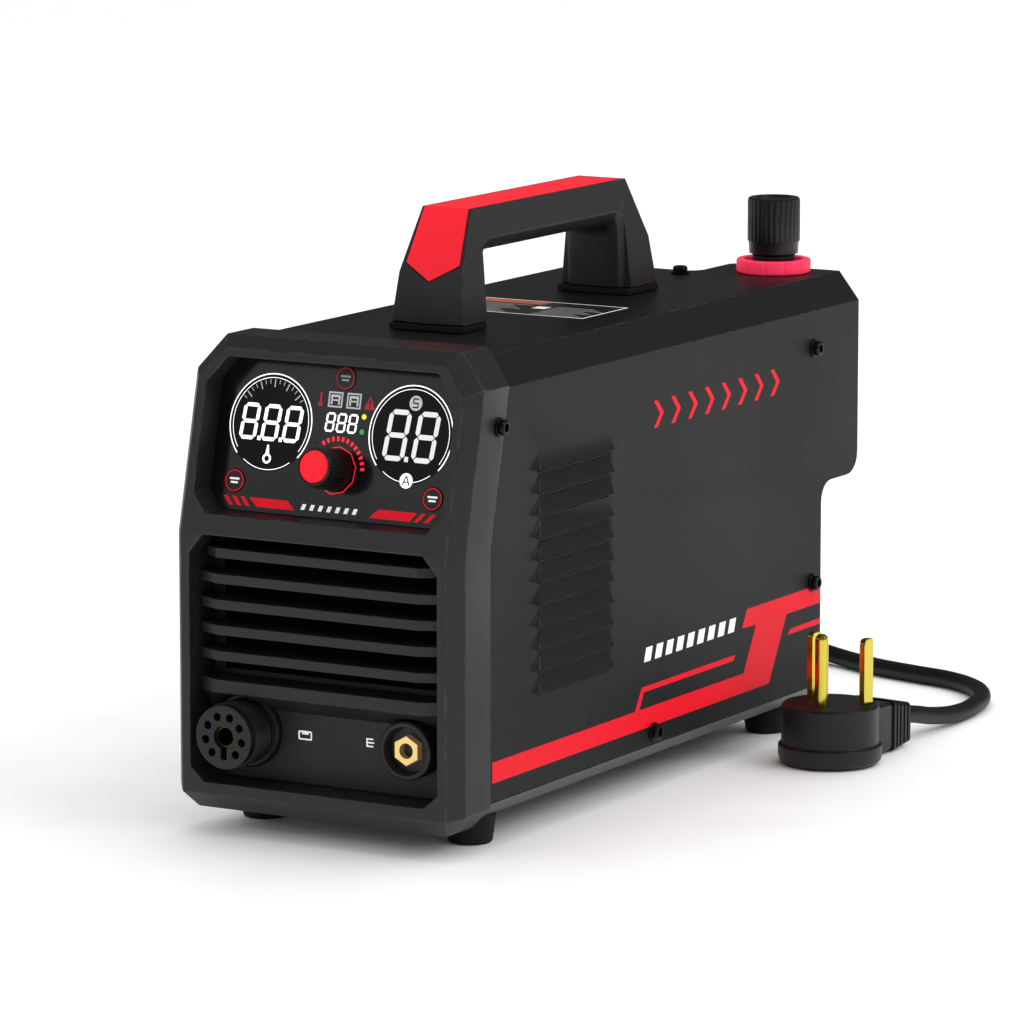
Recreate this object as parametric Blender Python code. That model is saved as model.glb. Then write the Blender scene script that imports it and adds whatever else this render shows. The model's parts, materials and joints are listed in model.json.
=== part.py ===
"""Inverter plasma cutter unit: a portable cutting power source with its mains lead and plug.

The unit stands on four rubber feet, with its front towards -Y, +Z up and its origin at the
centre of its footprint on the floor. Every named size below is in millimetres, and the mesh
helpers turn millimetres into metres.
"""

import math

import bmesh
import bpy
from mathutils import Matrix, Vector

MM = 0.001
GAP = 0.3

# Housing and chassis
HALF_WIDTH = 75.0
SHEET = 1.5
SIDE_BOTTOM = 22.5
SIDE_TOP = 212.5
TOP = 226.6
TOP_HALF = 63.9
FRONT_EDGE = -164.9
REAR_SIDE = 164.0
REAR_TOP = 166.0
REAR_HOOD = 203.7
HOOD_LEFT = 2.4
HOOD_BOTTOM = 124.8
REAR_PANEL = 160.5
FLANGE_X = HALF_WIDTH - SHEET - GAP

# Louvres pressed out of both sides
LOUVRE_COUNT = 11
LOUVRE_PITCH = 10.41
LOUVRE_LOW = 66.9
LOUVRE_HEIGHT = 9.4
LOUVRE_REACH = 2.6
LOUVRE_ENDS = (-127.7, -50.0)

# Front bezel: upright up to KINK, then leaning back by LEAN millimetres for each millimetre up
KINK = 140.1
LEAN = 0.235
BEZEL_HALF = 77.0
BEZEL_FRONT = -198.7
BEZEL_BEVEL = 8.0
BEZEL_BOTTOM = 10.8
BEZEL_TOP = 230.5
DISPLAY_LOW = 150.3
DISPLAY_HIGH = 221.3
VENT_LOW = 24.6
VENT_HIGH = 140.6
OPENING_HALF = 66.4
FASCIA_FRONT = -184.6
FASCIA_THICK = 2.0
PANEL_FRONT = -180.7

# Grille slats
SLAT_TOP = 132.0
SLAT_PITCH = 12.03
SLAT_COUNT = 5
SLAT_HEIGHT = 4.6
SLAT_FRONT = -194.8
SLAT_BACK = -175.0

# Controls on the leaning fascia, given as (x, z)
KNOB_AT = (0.0, 172.3)
UNIT_AT = (-53.3, 163.7)
POST_FLOW_AT = (53.0, 163.6)
MODE_AT = (0.0, 213.6)
BUTTON_RADIUS = 5.3
KNOB_RADIUS = 9.8
KNOB_LENGTH = 19.6

# Sockets on the connector panel, given as (x, z)
TORCH_AT = (-45.0, 47.8)
TORCH_FRONT = -203.7
TORCH_RADIUS = 15.0
GROUND_AT = (45.0, 48.3)
GROUND_FRONT = -191.4
GROUND_RADIUS = 13.75

# Handle
HANDLE_BASE = 230.3
HANDLE_MID = 253.8
HANDLE_TOP = 283.2

# Pressure regulator under the rear hood, given as (x, y)
REGULATOR_AT = (37.2, 182.75)
RING_RADIUS = 18.7
DIAL_RADIUS = 13.2

# Fan on the rear panel, given as (x, z)
FAN_AT = (-5.0, 78.0)
FAN_SIDE = 80.0
FAN_BORE = 37.5

# Power rocker: its pivot runs along X through this (y, z), and it rests tilted by this angle
ROCKER_PIVOT = (164.0, 186.0)
ROCKER_TILT = 7.0

# Feet and screws
FEET = {"left": -56.0, "right": 56.0}
FOOT_ROWS = {"front": -151.0, "rear": 142.1}
SIDE_SCREWS = {"upper": (154.5, 193.8), "lower": (154.5, 75.4), "middle": (-10.6, 28.6)}
BEZEL_SCREW = (-160.5, 196.0)
TOP_SCREW = (0.0, 152.8)

# Mains lead: its route is given as (x, y, z) points
CORD_RADIUS = 4.5
GLAND_AT = (-56.0, 38.0)
GLAND_END = 200.0
COIL_AT = (-55.0, 262.0)
COIL_INNER = 41.0
COIL_OUTER = 59.0
COIL_HEIGHT = 18.2
LEAD_ROUTE = (
    (-56.0, 201.4, 38.0),
    (-56.5, 204.8, 37.8),
    (-58.7, 212.7, 37.2),
    (-62.6, 220.0, 36.3),
    (-67.9, 226.3, 35.0),
    (-74.4, 231.4, 33.5),
    (-81.5, 234.9, 32.0),
    (-88.5, 238.4, 30.4),
    (-95.0, 243.4, 28.8),
    (-100.3, 249.7, 27.2),
    (-104.2, 257.0, 25.9),
    (-106.5, 264.9, 24.8),
    (-107.0, 273.8, 24.0),
    (-105.5, 282.6, 23.5),
)
RUN_ROUTE = (
    (-55.0, 325.6, 13.2),
    (-25.0, 324.5, 8.8),
    (5.0, 315.5, 5.2),
    (38.0, 299.5, 4.6),
    (66.0, 291.8, 4.6),
    (90.0, 285.5, 4.6),
    (109.0, 273.0, 4.6),
    (122.0, 255.0, 4.6),
    (128.5, 232.0, 4.6),
    (130.5, 207.0, 5.0),
    (129.3, 182.0, 8.0),
    (127.2, 160.0, 12.5),
    (125.6, 147.6, 13.6),
)

# Plug: a right-angle body lying on its back with its pins up
PLUG_AT = (119.2, 89.0)
PLUG_TURN = -6.6
PLUG_RADIUS = 25.5
PLUG_BODY_RADIUS = 24.0
PLUG_TOP = 29.8
PLUG_TAIL = 58.0
BLADE_TOP = 62.3
EARTH_TOP = 65.3
BLADE_SPREAD = 15.3

CHARCOAL = (0.030, 0.030, 0.032)
BLACK = (0.012, 0.012, 0.013)
RED = (0.80, 0.02, 0.04)
BRASS = (0.78, 0.56, 0.16)
ALUMINIUM = (0.62, 0.63, 0.65)
COPPER = (0.55, 0.22, 0.08)
GREEN = (0.02, 0.14, 0.05)


def finish(obj, colour, roughness, metallic=0.0, smooth=True):
    """Gives an object its own material, and shades its round faces smooth."""
    material = bpy.data.materials.new(obj.name)
    material.use_nodes = True
    shader = material.node_tree.nodes["Principled BSDF"]
    shader.inputs["Base Color"].default_value = (*colour, 1.0)
    shader.inputs["Roughness"].default_value = roughness
    shader.inputs["Metallic"].default_value = metallic
    obj.data.materials.clear()
    obj.data.materials.append(material)
    if smooth:
        obj.data.shade_smooth()
        obj.data.set_sharp_from_angle(angle=math.radians(32))
    return obj


def object_from(name, shape):
    """Makes an object from a bmesh in millimetres, with its faces turned outwards."""
    bmesh.ops.recalc_face_normals(shape, faces=shape.faces)
    bmesh.ops.scale(shape, vec=(MM, MM, MM), verts=shape.verts)
    mesh = bpy.data.meshes.new(name)
    shape.to_mesh(mesh)
    shape.free()
    obj = bpy.data.objects.new(name, mesh)
    bpy.context.scene.collection.objects.link(obj)
    return obj


def loft(name, rings):
    """A closed solid through rings of points, all with the same number of points."""
    shape = bmesh.new()
    made = [[shape.verts.new(point) for point in ring] for ring in rings]
    count = len(made[0])
    for lower, upper in zip(made, made[1:]):
        for i in range(count):
            j = (i + 1) % count
            shape.faces.new((lower[i], lower[j], upper[j], upper[i]))
    shape.faces.new(made[0])
    shape.faces.new(made[-1])
    return object_from(name, shape)


def hull(name, points):
    """The convex solid around points."""
    shape = bmesh.new()
    for point in points:
        shape.verts.new(point)
    result = bmesh.ops.convex_hull(shape, input=shape.verts)
    inside = [item for item in result["geom_interior"] if isinstance(item, bmesh.types.BMVert)]
    bmesh.ops.delete(shape, geom=inside, context="VERTS")
    bmesh.ops.dissolve_limit(
        shape, angle_limit=math.radians(0.5), verts=shape.verts, edges=shape.edges
    )
    return object_from(name, shape)


def placed(axis, a, b, along):
    """The point (a, b) of a drawing normal to an axis, at a distance along that axis."""
    if axis == "X":
        return (along, a, b)
    if axis == "Y":
        return (a, along, b)
    return (a, b, along)


def prism(name, outline, axis, low, high):
    """An outline extruded along an axis from low to high."""
    rings = [[placed(axis, a, b, at) for a, b in outline] for at in (low, high)]
    return loft(name, rings)


def block(name, low, high):
    """A box between two corners."""
    outline = rectangle(low[0], low[1], high[0], high[1])
    return prism(name, outline, "Z", low[2], high[2])


def rectangle(left, low, right, high):
    return [(left, low), (right, low), (right, high), (left, high)]


def circle(radius, segments, at=(0.0, 0.0), turn=0.0):
    """Points round a circle."""
    steps = [turn + 2 * math.pi * i / segments for i in range(segments)]
    return [(at[0] + radius * math.cos(a), at[1] + radius * math.sin(a)) for a in steps]


def rounded(points, radii, steps=4):
    """A closed outline with each corner replaced by an arc of the radius given for it."""
    result = []
    count = len(points)
    for i, radius in enumerate(radii):
        corner = Vector(points[i])
        if radius == 0:
            result.append(tuple(corner))
            continue
        before = (Vector(points[i - 1]) - corner).normalized()
        after = (Vector(points[(i + 1) % count]) - corner).normalized()
        half = math.acos(max(-1.0, min(1.0, before.dot(after)))) / 2
        middle = corner + (before + after).normalized() * (radius / math.sin(half))
        start = corner + before * (radius / math.tan(half)) - middle
        end = corner + after * (radius / math.tan(half)) - middle
        for step in range(steps + 1):
            share = step / steps
            turned_by = start.angle_signed(end) * share
            arm = Vector(start)
            arm.rotate(Matrix.Rotation(-turned_by, 2))
            result.append(tuple(middle + arm))
    return result


def turned(name, profile, segments, axis="Z", at=(0.0, 0.0, 0.0)):
    """A lathe-turned solid from a closed (radius, height) profile, with height along the axis."""
    shape = bmesh.new()
    rings = []
    for radius, height in profile:
        if radius == 0:
            rings.append([shape.verts.new((0, 0, height))])
        else:
            rings.append([shape.verts.new((x, y, height)) for x, y in circle(radius, segments)])
    solid = profile[0][0] == 0 and profile[-1][0] == 0
    pairs = list(zip(rings, rings[1:]))
    if not solid:
        pairs.append((rings[-1], rings[0]))
    for lower, upper in pairs:
        for i in range(segments):
            j = (i + 1) % segments
            if len(lower) == 1:
                shape.faces.new((lower[0], upper[j], upper[i]))
            elif len(upper) == 1:
                shape.faces.new((lower[i], lower[j], upper[0]))
            else:
                shape.faces.new((lower[i], lower[j], upper[j], upper[i]))
    turn = {"Z": Matrix(), "Y": Matrix.Rotation(-math.pi / 2, 4, "X")}
    turn["X"] = Matrix.Rotation(math.pi / 2, 4, "Y")
    bmesh.ops.transform(shape, matrix=Matrix.Translation(at) @ turn[axis], verts=shape.verts)
    return object_from(name, shape)


def rod(name, radius, segments, axis, low, high, at):
    """A plain round bar along an axis from low to high, at (a, b) in the plane across it."""
    return prism(name, circle(radius, segments, at), axis, low, high)


def combine(target, other, operation):
    """Joins another solid to the target, or cuts it away, and removes the other."""
    modifier = target.modifiers.new(operation, "BOOLEAN")
    modifier.operation = operation
    modifier.object = other
    modifier.solver = "EXACT"
    bpy.context.view_layer.update()
    graph = bpy.context.evaluated_depsgraph_get()
    mesh = bpy.data.meshes.new_from_object(target.evaluated_get(graph))
    target.modifiers.clear()
    old = target.data
    target.data = mesh
    bpy.data.meshes.remove(old)
    bpy.data.objects.remove(other)
    return target


def cut(target, *others):
    for other in others:
        combine(target, other, "DIFFERENCE")
    return target


def join(target, *others):
    for other in others:
        combine(target, other, "UNION")
    return target


def lean_back(obj, shear_only=False):
    """Leans the part of an object above the bezel's kink back, as the whole front does."""
    shape = bmesh.new()
    shape.from_mesh(obj.data)
    if not shear_only:
        bmesh.ops.bisect_plane(
            shape,
            geom=shape.verts[:] + shape.edges[:] + shape.faces[:],
            dist=1e-7,
            plane_co=(0, 0, KINK * MM),
            plane_no=(0, 0, 1),
        )
    for vertex in shape.verts:
        vertex.co.y += LEAN * max(0.0, vertex.co.z - KINK * MM)
    bmesh.ops.triangulate(shape, faces=shape.faces)
    shape.to_mesh(obj.data)
    shape.free()
    return obj


def on_fascia(obj, at, lift=0.0):
    """Stands an object made along +Z on the leaning fascia, at (x, z) and lifted off it."""
    angle = math.atan(LEAN)
    normal = Vector((0, -math.cos(angle), math.sin(angle)))
    surface = Vector((at[0], FASCIA_FRONT + LEAN * (at[1] - KINK), at[1]))
    obj.location = (surface + normal * lift) * MM
    obj.rotation_euler = (math.pi / 2 - angle, 0, 0)
    return obj


def mirrored(outline):
    """An outline's right half, from the bottom up, completed by its mirror image."""
    return outline + [(-a, b) for a, b in reversed(outline)]


# ---------------------------------------------------------------- front


def front_bezel():
    """The moulded front frame: a flat rim, a bevel all round, and two openings."""
    rim = mirrored([(71, 18.8), (71, 210.9), (58.9, 225.3)])
    outer = mirrored([(67, BEZEL_BOTTOM), (BEZEL_HALF, 20.8), (BEZEL_HALF, 214.1), (63, BEZEL_TOP)])
    seat = mirrored([(66.2, 13.0), (75.2, 22.0), (75.2, 212.6), (63.8, 227.0)])
    points = [(x, BEZEL_FRONT, z) for x, z in rim]
    points += [(x, BEZEL_FRONT + BEZEL_BEVEL, z) for x, z in outer]
    points += [(x, FRONT_EDGE - 3.8, z) for x, z in outer]
    points += [(x, FRONT_EDGE - GAP, z) for x, z in seat]
    bezel = hull("front_bezel", points)
    display = mirrored(
        [(59, DISPLAY_LOW), (66.5, 159.0), (66.5, 209.3), (56.3, DISPLAY_HIGH)]
    )
    vent = mirrored([(58.8, VENT_LOW), (OPENING_HALF, 31.3), (OPENING_HALF, 131.8), (58.8, VENT_HIGH)])
    back = FRONT_EDGE + 5
    cut(bezel, prism("cut", display, "Y", BEZEL_FRONT - 5, back))
    cut(bezel, prism("cut", vent, "Y", BEZEL_FRONT - 5, back))
    lean_back(bezel)
    for side in (-1, 1):
        y, z = BEZEL_SCREW
        cut(bezel, rod("cut", 2.2, 12, "X", side * 68, side * 80, (y, z)))
    finish(bezel, CHARCOAL, 0.45, smooth=False)


def front_grille():
    """The insert behind the bezel: five slats over the air inlet, a lip and the connector panel."""
    half = OPENING_HALF - GAP
    low = VENT_LOW + GAP
    high = VENT_HIGH - GAP
    outline = mirrored([(58.6, low), (half, 31.5), (half, 131.6), (58.6, high)])
    grille = prism("front_grille", outline, "Y", -178.0, -172.7)
    cut(grille, block("cut", (-60, -182, 75), (60, -168, 137.5)))
    plan = [(-half, -189.5), (-54, SLAT_FRONT), (54, SLAT_FRONT), (half, -189.5)]
    plan += [(half, SLAT_BACK), (-half, SLAT_BACK)]
    for i in range(SLAT_COUNT):
        middle = SLAT_TOP - i * SLAT_PITCH
        short = 0.0 if i else 4.0
        own = [(x if abs(x) < half else math.copysign(half - short, x), y) for x, y in plan]
        low_z = middle - SLAT_HEIGHT / 2
        join(grille, prism("slat", own, "Z", low_z, low_z + SLAT_HEIGHT))
    lip = [[(x, y, 72.6) for x, y in plan], [(x, y, 66.5) for x, y in plan]]
    sloped = [(x, PANEL_FRONT if y < -185 else y, 58.0) for x, y in plan]
    join(grille, loft("lip", lip + [sloped]))
    panel = mirrored([(58.6, low), (half, 31.5), (half, 63.0)])
    join(grille, prism("panel", panel, "Y", PANEL_FRONT, -175.0))
    for at, hole, recess in ((TORCH_AT, TORCH_RADIUS, 17.9), (GROUND_AT, 11.0, GROUND_RADIUS)):
        cut(grille, rod("cut", hole + GAP, 32, "Y", -200, -165, at))
        cut(grille, rod("cut", recess + 0.4, 32, "Y", -200, PANEL_FRONT, at))
    finish(grille, CHARCOAL, 0.5, smooth=False)


def display_fascia():
    """The dark glossy control panel, with holes for the knob's shaft and three buttons."""
    outline = mirrored([(58.7, 150.6), (66.2, 159.2), (66.2, 209.1), (56.1, 221.0)])
    fascia = prism("display_fascia", outline, "Y", FASCIA_FRONT, FASCIA_FRONT + FASCIA_THICK)
    lean_back(fascia, shear_only=True)
    for at, radius in ((KNOB_AT, 3.4), (UNIT_AT, 5.6), (POST_FLOW_AT, 5.6), (MODE_AT, 5.6)):
        hole = rod("cut", radius, 24, "Z", -8, 8, (0, 0))
        on_fascia(hole, at)
        cut(fascia, hole)
    finish(fascia, BLACK, 0.25, smooth=False)


def display_board():
    """The circuit board behind the fascia, with the encoder soldered on its face."""
    board = block("display_board", (-57, -171.5, 154), (57, -169.9, 217))
    lean_back(board, shear_only=True)
    encoder = prism("encoder", rectangle(-6.5, -6.5, 6.5, 6.5), "Z", -14.0, -2.6)
    cut(encoder, rod("cut", 3.3, 20, "Z", -9.5, 2, (0, 0)))
    join(board, on_fascia(encoder, KNOB_AT))
    finish(board, GREEN, 0.5, smooth=False)


def controls():
    """The encoder's knob with its red cap, and the three buttons."""
    ribs = []
    for i in range(48):
        reach = KNOB_RADIUS if i % 2 else KNOB_RADIUS - 0.7
        ribs.append((reach, 2 * math.pi * i / 48))
    plan = [(r * math.cos(a), r * math.sin(a)) for r, a in ribs]
    nose = [(x * 0.9, y * 0.9) for x, y in plan]
    rings = [[(x, y, 0.6) for x, y in plan], [(x, y, KNOB_LENGTH - 4) for x, y in plan]]
    rings.append([(x, y, KNOB_LENGTH - 0.4) for x, y in nose])
    knob = loft("encoder_knob", rings)
    cut(knob, rod("cut", 7.8, 32, "Z", KNOB_LENGTH - 1.6, KNOB_LENGTH + 2, (0, 0)))
    join(knob, rod("shaft", 3.0, 20, "Z", -8.5, 3.0, (0, 0)))
    on_fascia(knob, KNOB_AT)
    finish(knob, BLACK, 0.4)
    cap = [(0, KNOB_LENGTH - 1.3), (7.5, KNOB_LENGTH - 1.3), (7.5, KNOB_LENGTH - 0.3)]
    cap += [(7.2, KNOB_LENGTH), (0, KNOB_LENGTH)]
    finish(on_fascia(turned("encoder_cap", cap, 40), KNOB_AT), RED, 0.4)

    buttons = {"unit_button": UNIT_AT, "post_flow_button": POST_FLOW_AT, "mode_button": MODE_AT}
    for name, at in buttons.items():
        profile = [(0, -4.0), (BUTTON_RADIUS, -4.0), (BUTTON_RADIUS, 0.2), (4.9, 0.5), (0, 0.5)]
        finish(on_fascia(turned(name, profile, 28), at), BLACK, 0.35)


def sockets():
    """The torch's central connector and the earth clamp's twist-lock socket."""
    x, z = TORCH_AT
    body = rod("torch_socket", TORCH_RADIUS, 32, "Y", TORCH_FRONT, -158, TORCH_AT)
    cut(body, rod("cut", 5.3, 24, "Y", TORCH_FRONT - 2, -165, TORCH_AT))
    for i in range(1, 9):
        angle = math.radians(40 * i - 90)
        pin = (x + 9.9 * math.cos(angle), z + 9.9 * math.sin(angle))
        cut(body, rod("cut", 2.0, 10, "Y", TORCH_FRONT - 2, -190, pin))
    cut(body, block("cut", (x - 1.6, TORCH_FRONT - 2, z - 10.5), (x + 1.6, -188, z - 4)))
    ring = [(TORCH_RADIUS - 1, 0), (16.8, 0), (17.6, 1.2), (17.6, 3.4), (TORCH_RADIUS - 1, 3.4)]
    join(body, turned("flange", ring, 36, "Y", (x, PANEL_FRONT - GAP - 3.4, z)))
    finish(body, BLACK, 0.4)

    x, z = GROUND_AT
    profile = [(0, 0), (GROUND_RADIUS - 0.8, 0), (GROUND_RADIUS, 0.8), (GROUND_RADIUS, 10.3)]
    profile += [(11.0, 10.3), (11.0, 30), (0, 30)]
    body = turned("ground_socket", profile, 40, "Y", (x, GROUND_FRONT, z))
    cut(body, rod("cut", 7.6, 6, "Y", GROUND_FRONT - 2, -166, GROUND_AT))
    finish(body, BLACK, 0.4)
    contact = prism("ground_socket_contact", circle(7.2, 6, GROUND_AT), "Y", GROUND_FRONT, -166.5)
    cut(contact, rod("cut", 4.4, 24, "Y", GROUND_FRONT - 2, -170, GROUND_AT))
    cut(contact, block("cut", (x - 1.4, GROUND_FRONT - 2, z - 5.6), (x + 1.4, -180, z)))
    finish(contact, BRASS, 0.25, 1.0)


# ---------------------------------------------------------------- housing


def louvre(side, low):
    """One pressed louvre and the space under it: a hood that opens downwards, at height low."""
    high = low + LOUVRE_HEIGHT
    front, rear = LOUVRE_ENDS
    face = side * (HALF_WIDTH - 0.7)
    proud = side * (HALF_WIDTH + LOUVRE_REACH)
    hood = [(face, front + 9.5, high), (face, rear - 6, high)]
    hood += [(face, front, low), (face, rear, low)]
    hood += [(proud, front + 3.5, low), (proud, rear - 3, low)]
    inside = side * (HALF_WIDTH - 3)
    under = side * (HALF_WIDTH + LOUVRE_REACH - 1.1)
    space = [(inside, front + 12, high - 3.6), (inside, rear - 8.5, high - 3.6)]
    space += [(inside, front + 4.5, low - 1), (inside, rear - 4, low - 1)]
    space += [(under, front + 6, low - 1), (under, rear - 5.5, low - 1)]
    return hull("louvre", hood), hull("cut", space)


def corner_sliver(corner, radius, inward):
    """The outline of what a rounding of this radius takes off a square corner."""
    a, b = corner
    da, db = inward
    turns = [math.radians(15 * i) for i in range(7)]
    arc = [
        (a + da * radius * (1 - math.cos(t)), b + db * radius * (1 - math.sin(t))) for t in turns
    ]
    beside = [(a + da * radius, b - db * 3), (a - da * 3, b - db * 3), (a - da * 3, b + db * radius)]
    return arc + beside


def housing_cover():
    """The folded sheet cover, whose top and right side reach back over the regulator."""
    side = HALF_WIDTH
    outer = [(side, SIDE_BOTTOM), (side, KINK), (side, SIDE_TOP), (TOP_HALF, TOP)]
    inner = [(side - SHEET, SIDE_BOTTOM), (side - SHEET, KINK), (side - SHEET, SIDE_TOP - 0.5)]
    inner.append((TOP_HALF - 0.7, TOP - SHEET))
    right = outer + [(-x, z) for x, z in reversed(outer)]
    left = [(-x, z) for x, z in inner] + [(x, z) for x, z in reversed(inner)]
    outline = right + left
    front = [(x, FRONT_EDGE + LEAN * max(0.0, z - KINK), z) for x, z in outline]
    back = [(x, REAR_HOOD, z) for x, z in outline]
    cover = loft("housing_cover", [front, back])

    beyond = REAR_HOOD + 12
    plan = [(-90, REAR_TOP), (HOOD_LEFT, REAR_TOP), (HOOD_LEFT, beyond), (-90, beyond)]
    cut(cover, prism("cut", rounded(plan, (0, 7, 0, 0), 6), "Z", -5, 260))
    outside = corner_sliver((HOOD_LEFT, REAR_HOOD), 5, (1, -1))
    cut(cover, prism("cut", outside, "Z", TOP - 10, TOP + 10))

    notch = [(REAR_SIDE, -5), (beyond, -5), (beyond, HOOD_BOTTOM), (REAR_SIDE, HOOD_BOTTOM)]
    cut(cover, prism("cut", rounded(notch, (0, 0, 0, 10), 6), "X", 60, 90))
    outside = corner_sliver((REAR_HOOD, HOOD_BOTTOM), 11, (-1, 1))
    cut(cover, prism("cut", outside, "X", 60, 90))

    for sign in (-1, 1):
        for i in range(LOUVRE_COUNT):
            hood, space = louvre(sign, LOUVRE_LOW + LOUVRE_PITCH * i)
            join(cover, hood)
            cut(cover, space)
        for y, z in SIDE_SCREWS.values():
            cut(cover, rod("cut", 2.2, 12, "X", sign * 70, sign * 80, (y, z)))
    cut(cover, rod("cut", 2.2, 12, "Z", TOP - 10, TOP + 10, TOP_SCREW))
    cut(cover, rod("cut", 14.6, 32, "Z", TOP - 10, TOP + 10, REGULATOR_AT))
    finish(cover, CHARCOAL, 0.38, smooth=False)


def base_pan():
    """The folded chassis tray, with a bevelled edge along each side and two upright flanges."""
    half = [(67.5, 14.5), (HALF_WIDTH, SIDE_BOTTOM - 0.4), (FLANGE_X, SIDE_BOTTOM - 0.4)]
    half += [(FLANGE_X, 60), (FLANGE_X - SHEET, 60), (FLANGE_X - SHEET, 21.6), (66.8, 16.0)]
    outer = half[:4]
    inner = half[4:]
    outline = [(-x, z) for x, z in reversed(outer)] + outer + inner
    outline += [(-x, z) for x, z in reversed(inner)]
    pan = prism("base_pan", outline, "Y", FRONT_EDGE, REAR_SIDE)
    y, z = SIDE_SCREWS["middle"]
    for sign in (-1, 1):
        cut(pan, rod("cut", 2.2, 12, "X", sign * 65, sign * 80, (y, z)))
    finish(pan, (0.09, 0.09, 0.095), 0.4, smooth=False)


def rear_panel():
    """The rear plate, with flanges for the cover's screws and holes for what it carries."""
    wide = FLANGE_X - SHEET - GAP
    outline = mirrored([(66.3, 16.7), (wide, 22.4), (wide, 213.0), (63.0, 224.6)])
    panel = prism("rear_panel", outline, "Y", REAR_PANEL, REAR_PANEL + SHEET)
    for sign in (-1, 1):
        low, high = sorted((sign * (wide - 4), sign * FLANGE_X))
        join(panel, block("web", (low, REAR_PANEL, 61), (high, REAR_PANEL + SHEET, 210)))
        low, high = sorted((sign * (FLANGE_X - SHEET), sign * FLANGE_X))
        join(panel, block("flange", (low, 148, 61), (high, REAR_PANEL + SHEET, 210)))
        for y, z in (SIDE_SCREWS["upper"], SIDE_SCREWS["lower"]):
            cut(panel, rod("cut", 2.2, 12, "X", sign * 65, sign * 80, (y, z)))
    for (at, radius, sides) in ((FAN_AT, FAN_BORE, 40), (GLAND_AT, 8.3, 24)):
        cut(panel, rod("cut", radius, sides, "Y", 150, 170, at))
    cut(panel, block("cut", (-54.3, 150, 174.7), (-25.7, 170, 197.3)))
    cut(panel, rod("cut", 6.8, 20, "Y", 150, 170, (REGULATOR_AT[0], 190.0)))
    finish(panel, CHARCOAL, 0.42, smooth=False)


def handle():
    """The carrying handle: a tapered bridge with a hand opening, and a pocket for its inlay."""
    points = []
    for x, low, high, z in (
        (19.8, -95.3, 92.8, HANDLE_BASE),
        (17.4, -91.9, 88.6, HANDLE_MID),
        (13.4, -77.2, 72.0, HANDLE_TOP),
    ):
        points += [(side * x, y, z) for side in (-1, 1) for y in (low, high)]
    points += [(0, -96.0, 245.7), (0, -97.4, HANDLE_BASE), (0, 92.6, 245.7), (0, 94.6, HANDLE_BASE)]
    body = hull("handle", points)

    def window(front, rear, top, x):
        corners = [(front - 3.5, 215), (rear + 1.5, 215), (rear, top), (front, top)]
        return [(x, y, z) for y, z in rounded(corners, (0, 0, 7, 7), 4)]

    steps = ((6.0, -67.0, 61.5, 261.3), (11.0, -67.0, 61.5, 262.6), (14.0, -68.0, 62.5, 265.4))
    steps += ((15.8, -70.5, 65.5, 269.0), (30.0, -70.5, 65.5, 269.0))
    sides = [window(f, r, t, -x) for x, f, r, t in reversed(steps)]
    sides += [window(f, r, t, x) for x, f, r, t in steps]
    cut(body, loft("cut", sides))
    cut(body, inlay("cut", 0.3, 1.5, 3.0))
    finish(body, CHARCOAL, 0.5, smooth=False)
    finish(inlay("handle_inlay", 0.0, 1.2, 0.0), RED, 0.45, smooth=False)
    for name, low, high in (("handle_pad_front", -96.5, -73.9), ("handle_pad_rear", 62.9, 93.6)):
        pad = block(name, (-20.0, low, TOP + GAP), (20.0, high, HANDLE_BASE - GAP))
        finish(pad, BLACK, 0.6, smooth=False)


def inlay(name, grow, depth, height):
    """The red strip over the handle's top and down its front to a point."""
    slope = (HANDLE_TOP - HANDLE_MID) / (91.9 - 77.2)
    front = Vector((-slope, 1.0)).normalized()
    ridge = Vector((-77.2, HANDLE_TOP))

    def ridge_at(offset):
        lift = Vector((0.0, offset))
        along = Vector((-1.0, -slope)).normalized()
        side = ridge + front * offset
        return side - along * ((side.y - (ridge + lift).y) / along.y)

    def front_at(z, offset):
        on_face = Vector((ridge.x - (HANDLE_TOP - z) / slope, z))
        return on_face + front * offset

    rings = []
    for offset in (-depth, height):
        tip = front_at(250.1 - 1.2 * grow, offset)
        corner = front_at(257.9 - grow, offset)
        top = ridge_at(offset)
        low_half, ridge_half, rear_half = 14.4 + grow, 11.95 + grow, 11.95 + grow
        rear = (69.5 + grow, HANDLE_TOP + offset)
        rings.append(
            [
                (0, *tip),
                (low_half, *corner),
                (ridge_half, *top),
                (rear_half, *rear),
                (-rear_half, *rear),
                (-ridge_half, *top),
                (-low_half, *corner),
            ]
        )
    shape = bmesh.new()
    low, high = [[shape.verts.new(point) for point in ring] for ring in rings]
    for ring in (low, high):
        tip, corner, ridge_r, rear_r, rear_l, ridge_l, corner_l = ring
        shape.faces.new((tip, corner, ridge_r, ridge_l, corner_l))
        shape.faces.new((ridge_l, ridge_r, rear_r, rear_l))
    for i in range(7):
        j = (i + 1) % 7
        shape.faces.new((low[i], low[j], high[j], high[i]))
    return object_from(name, shape)


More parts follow.
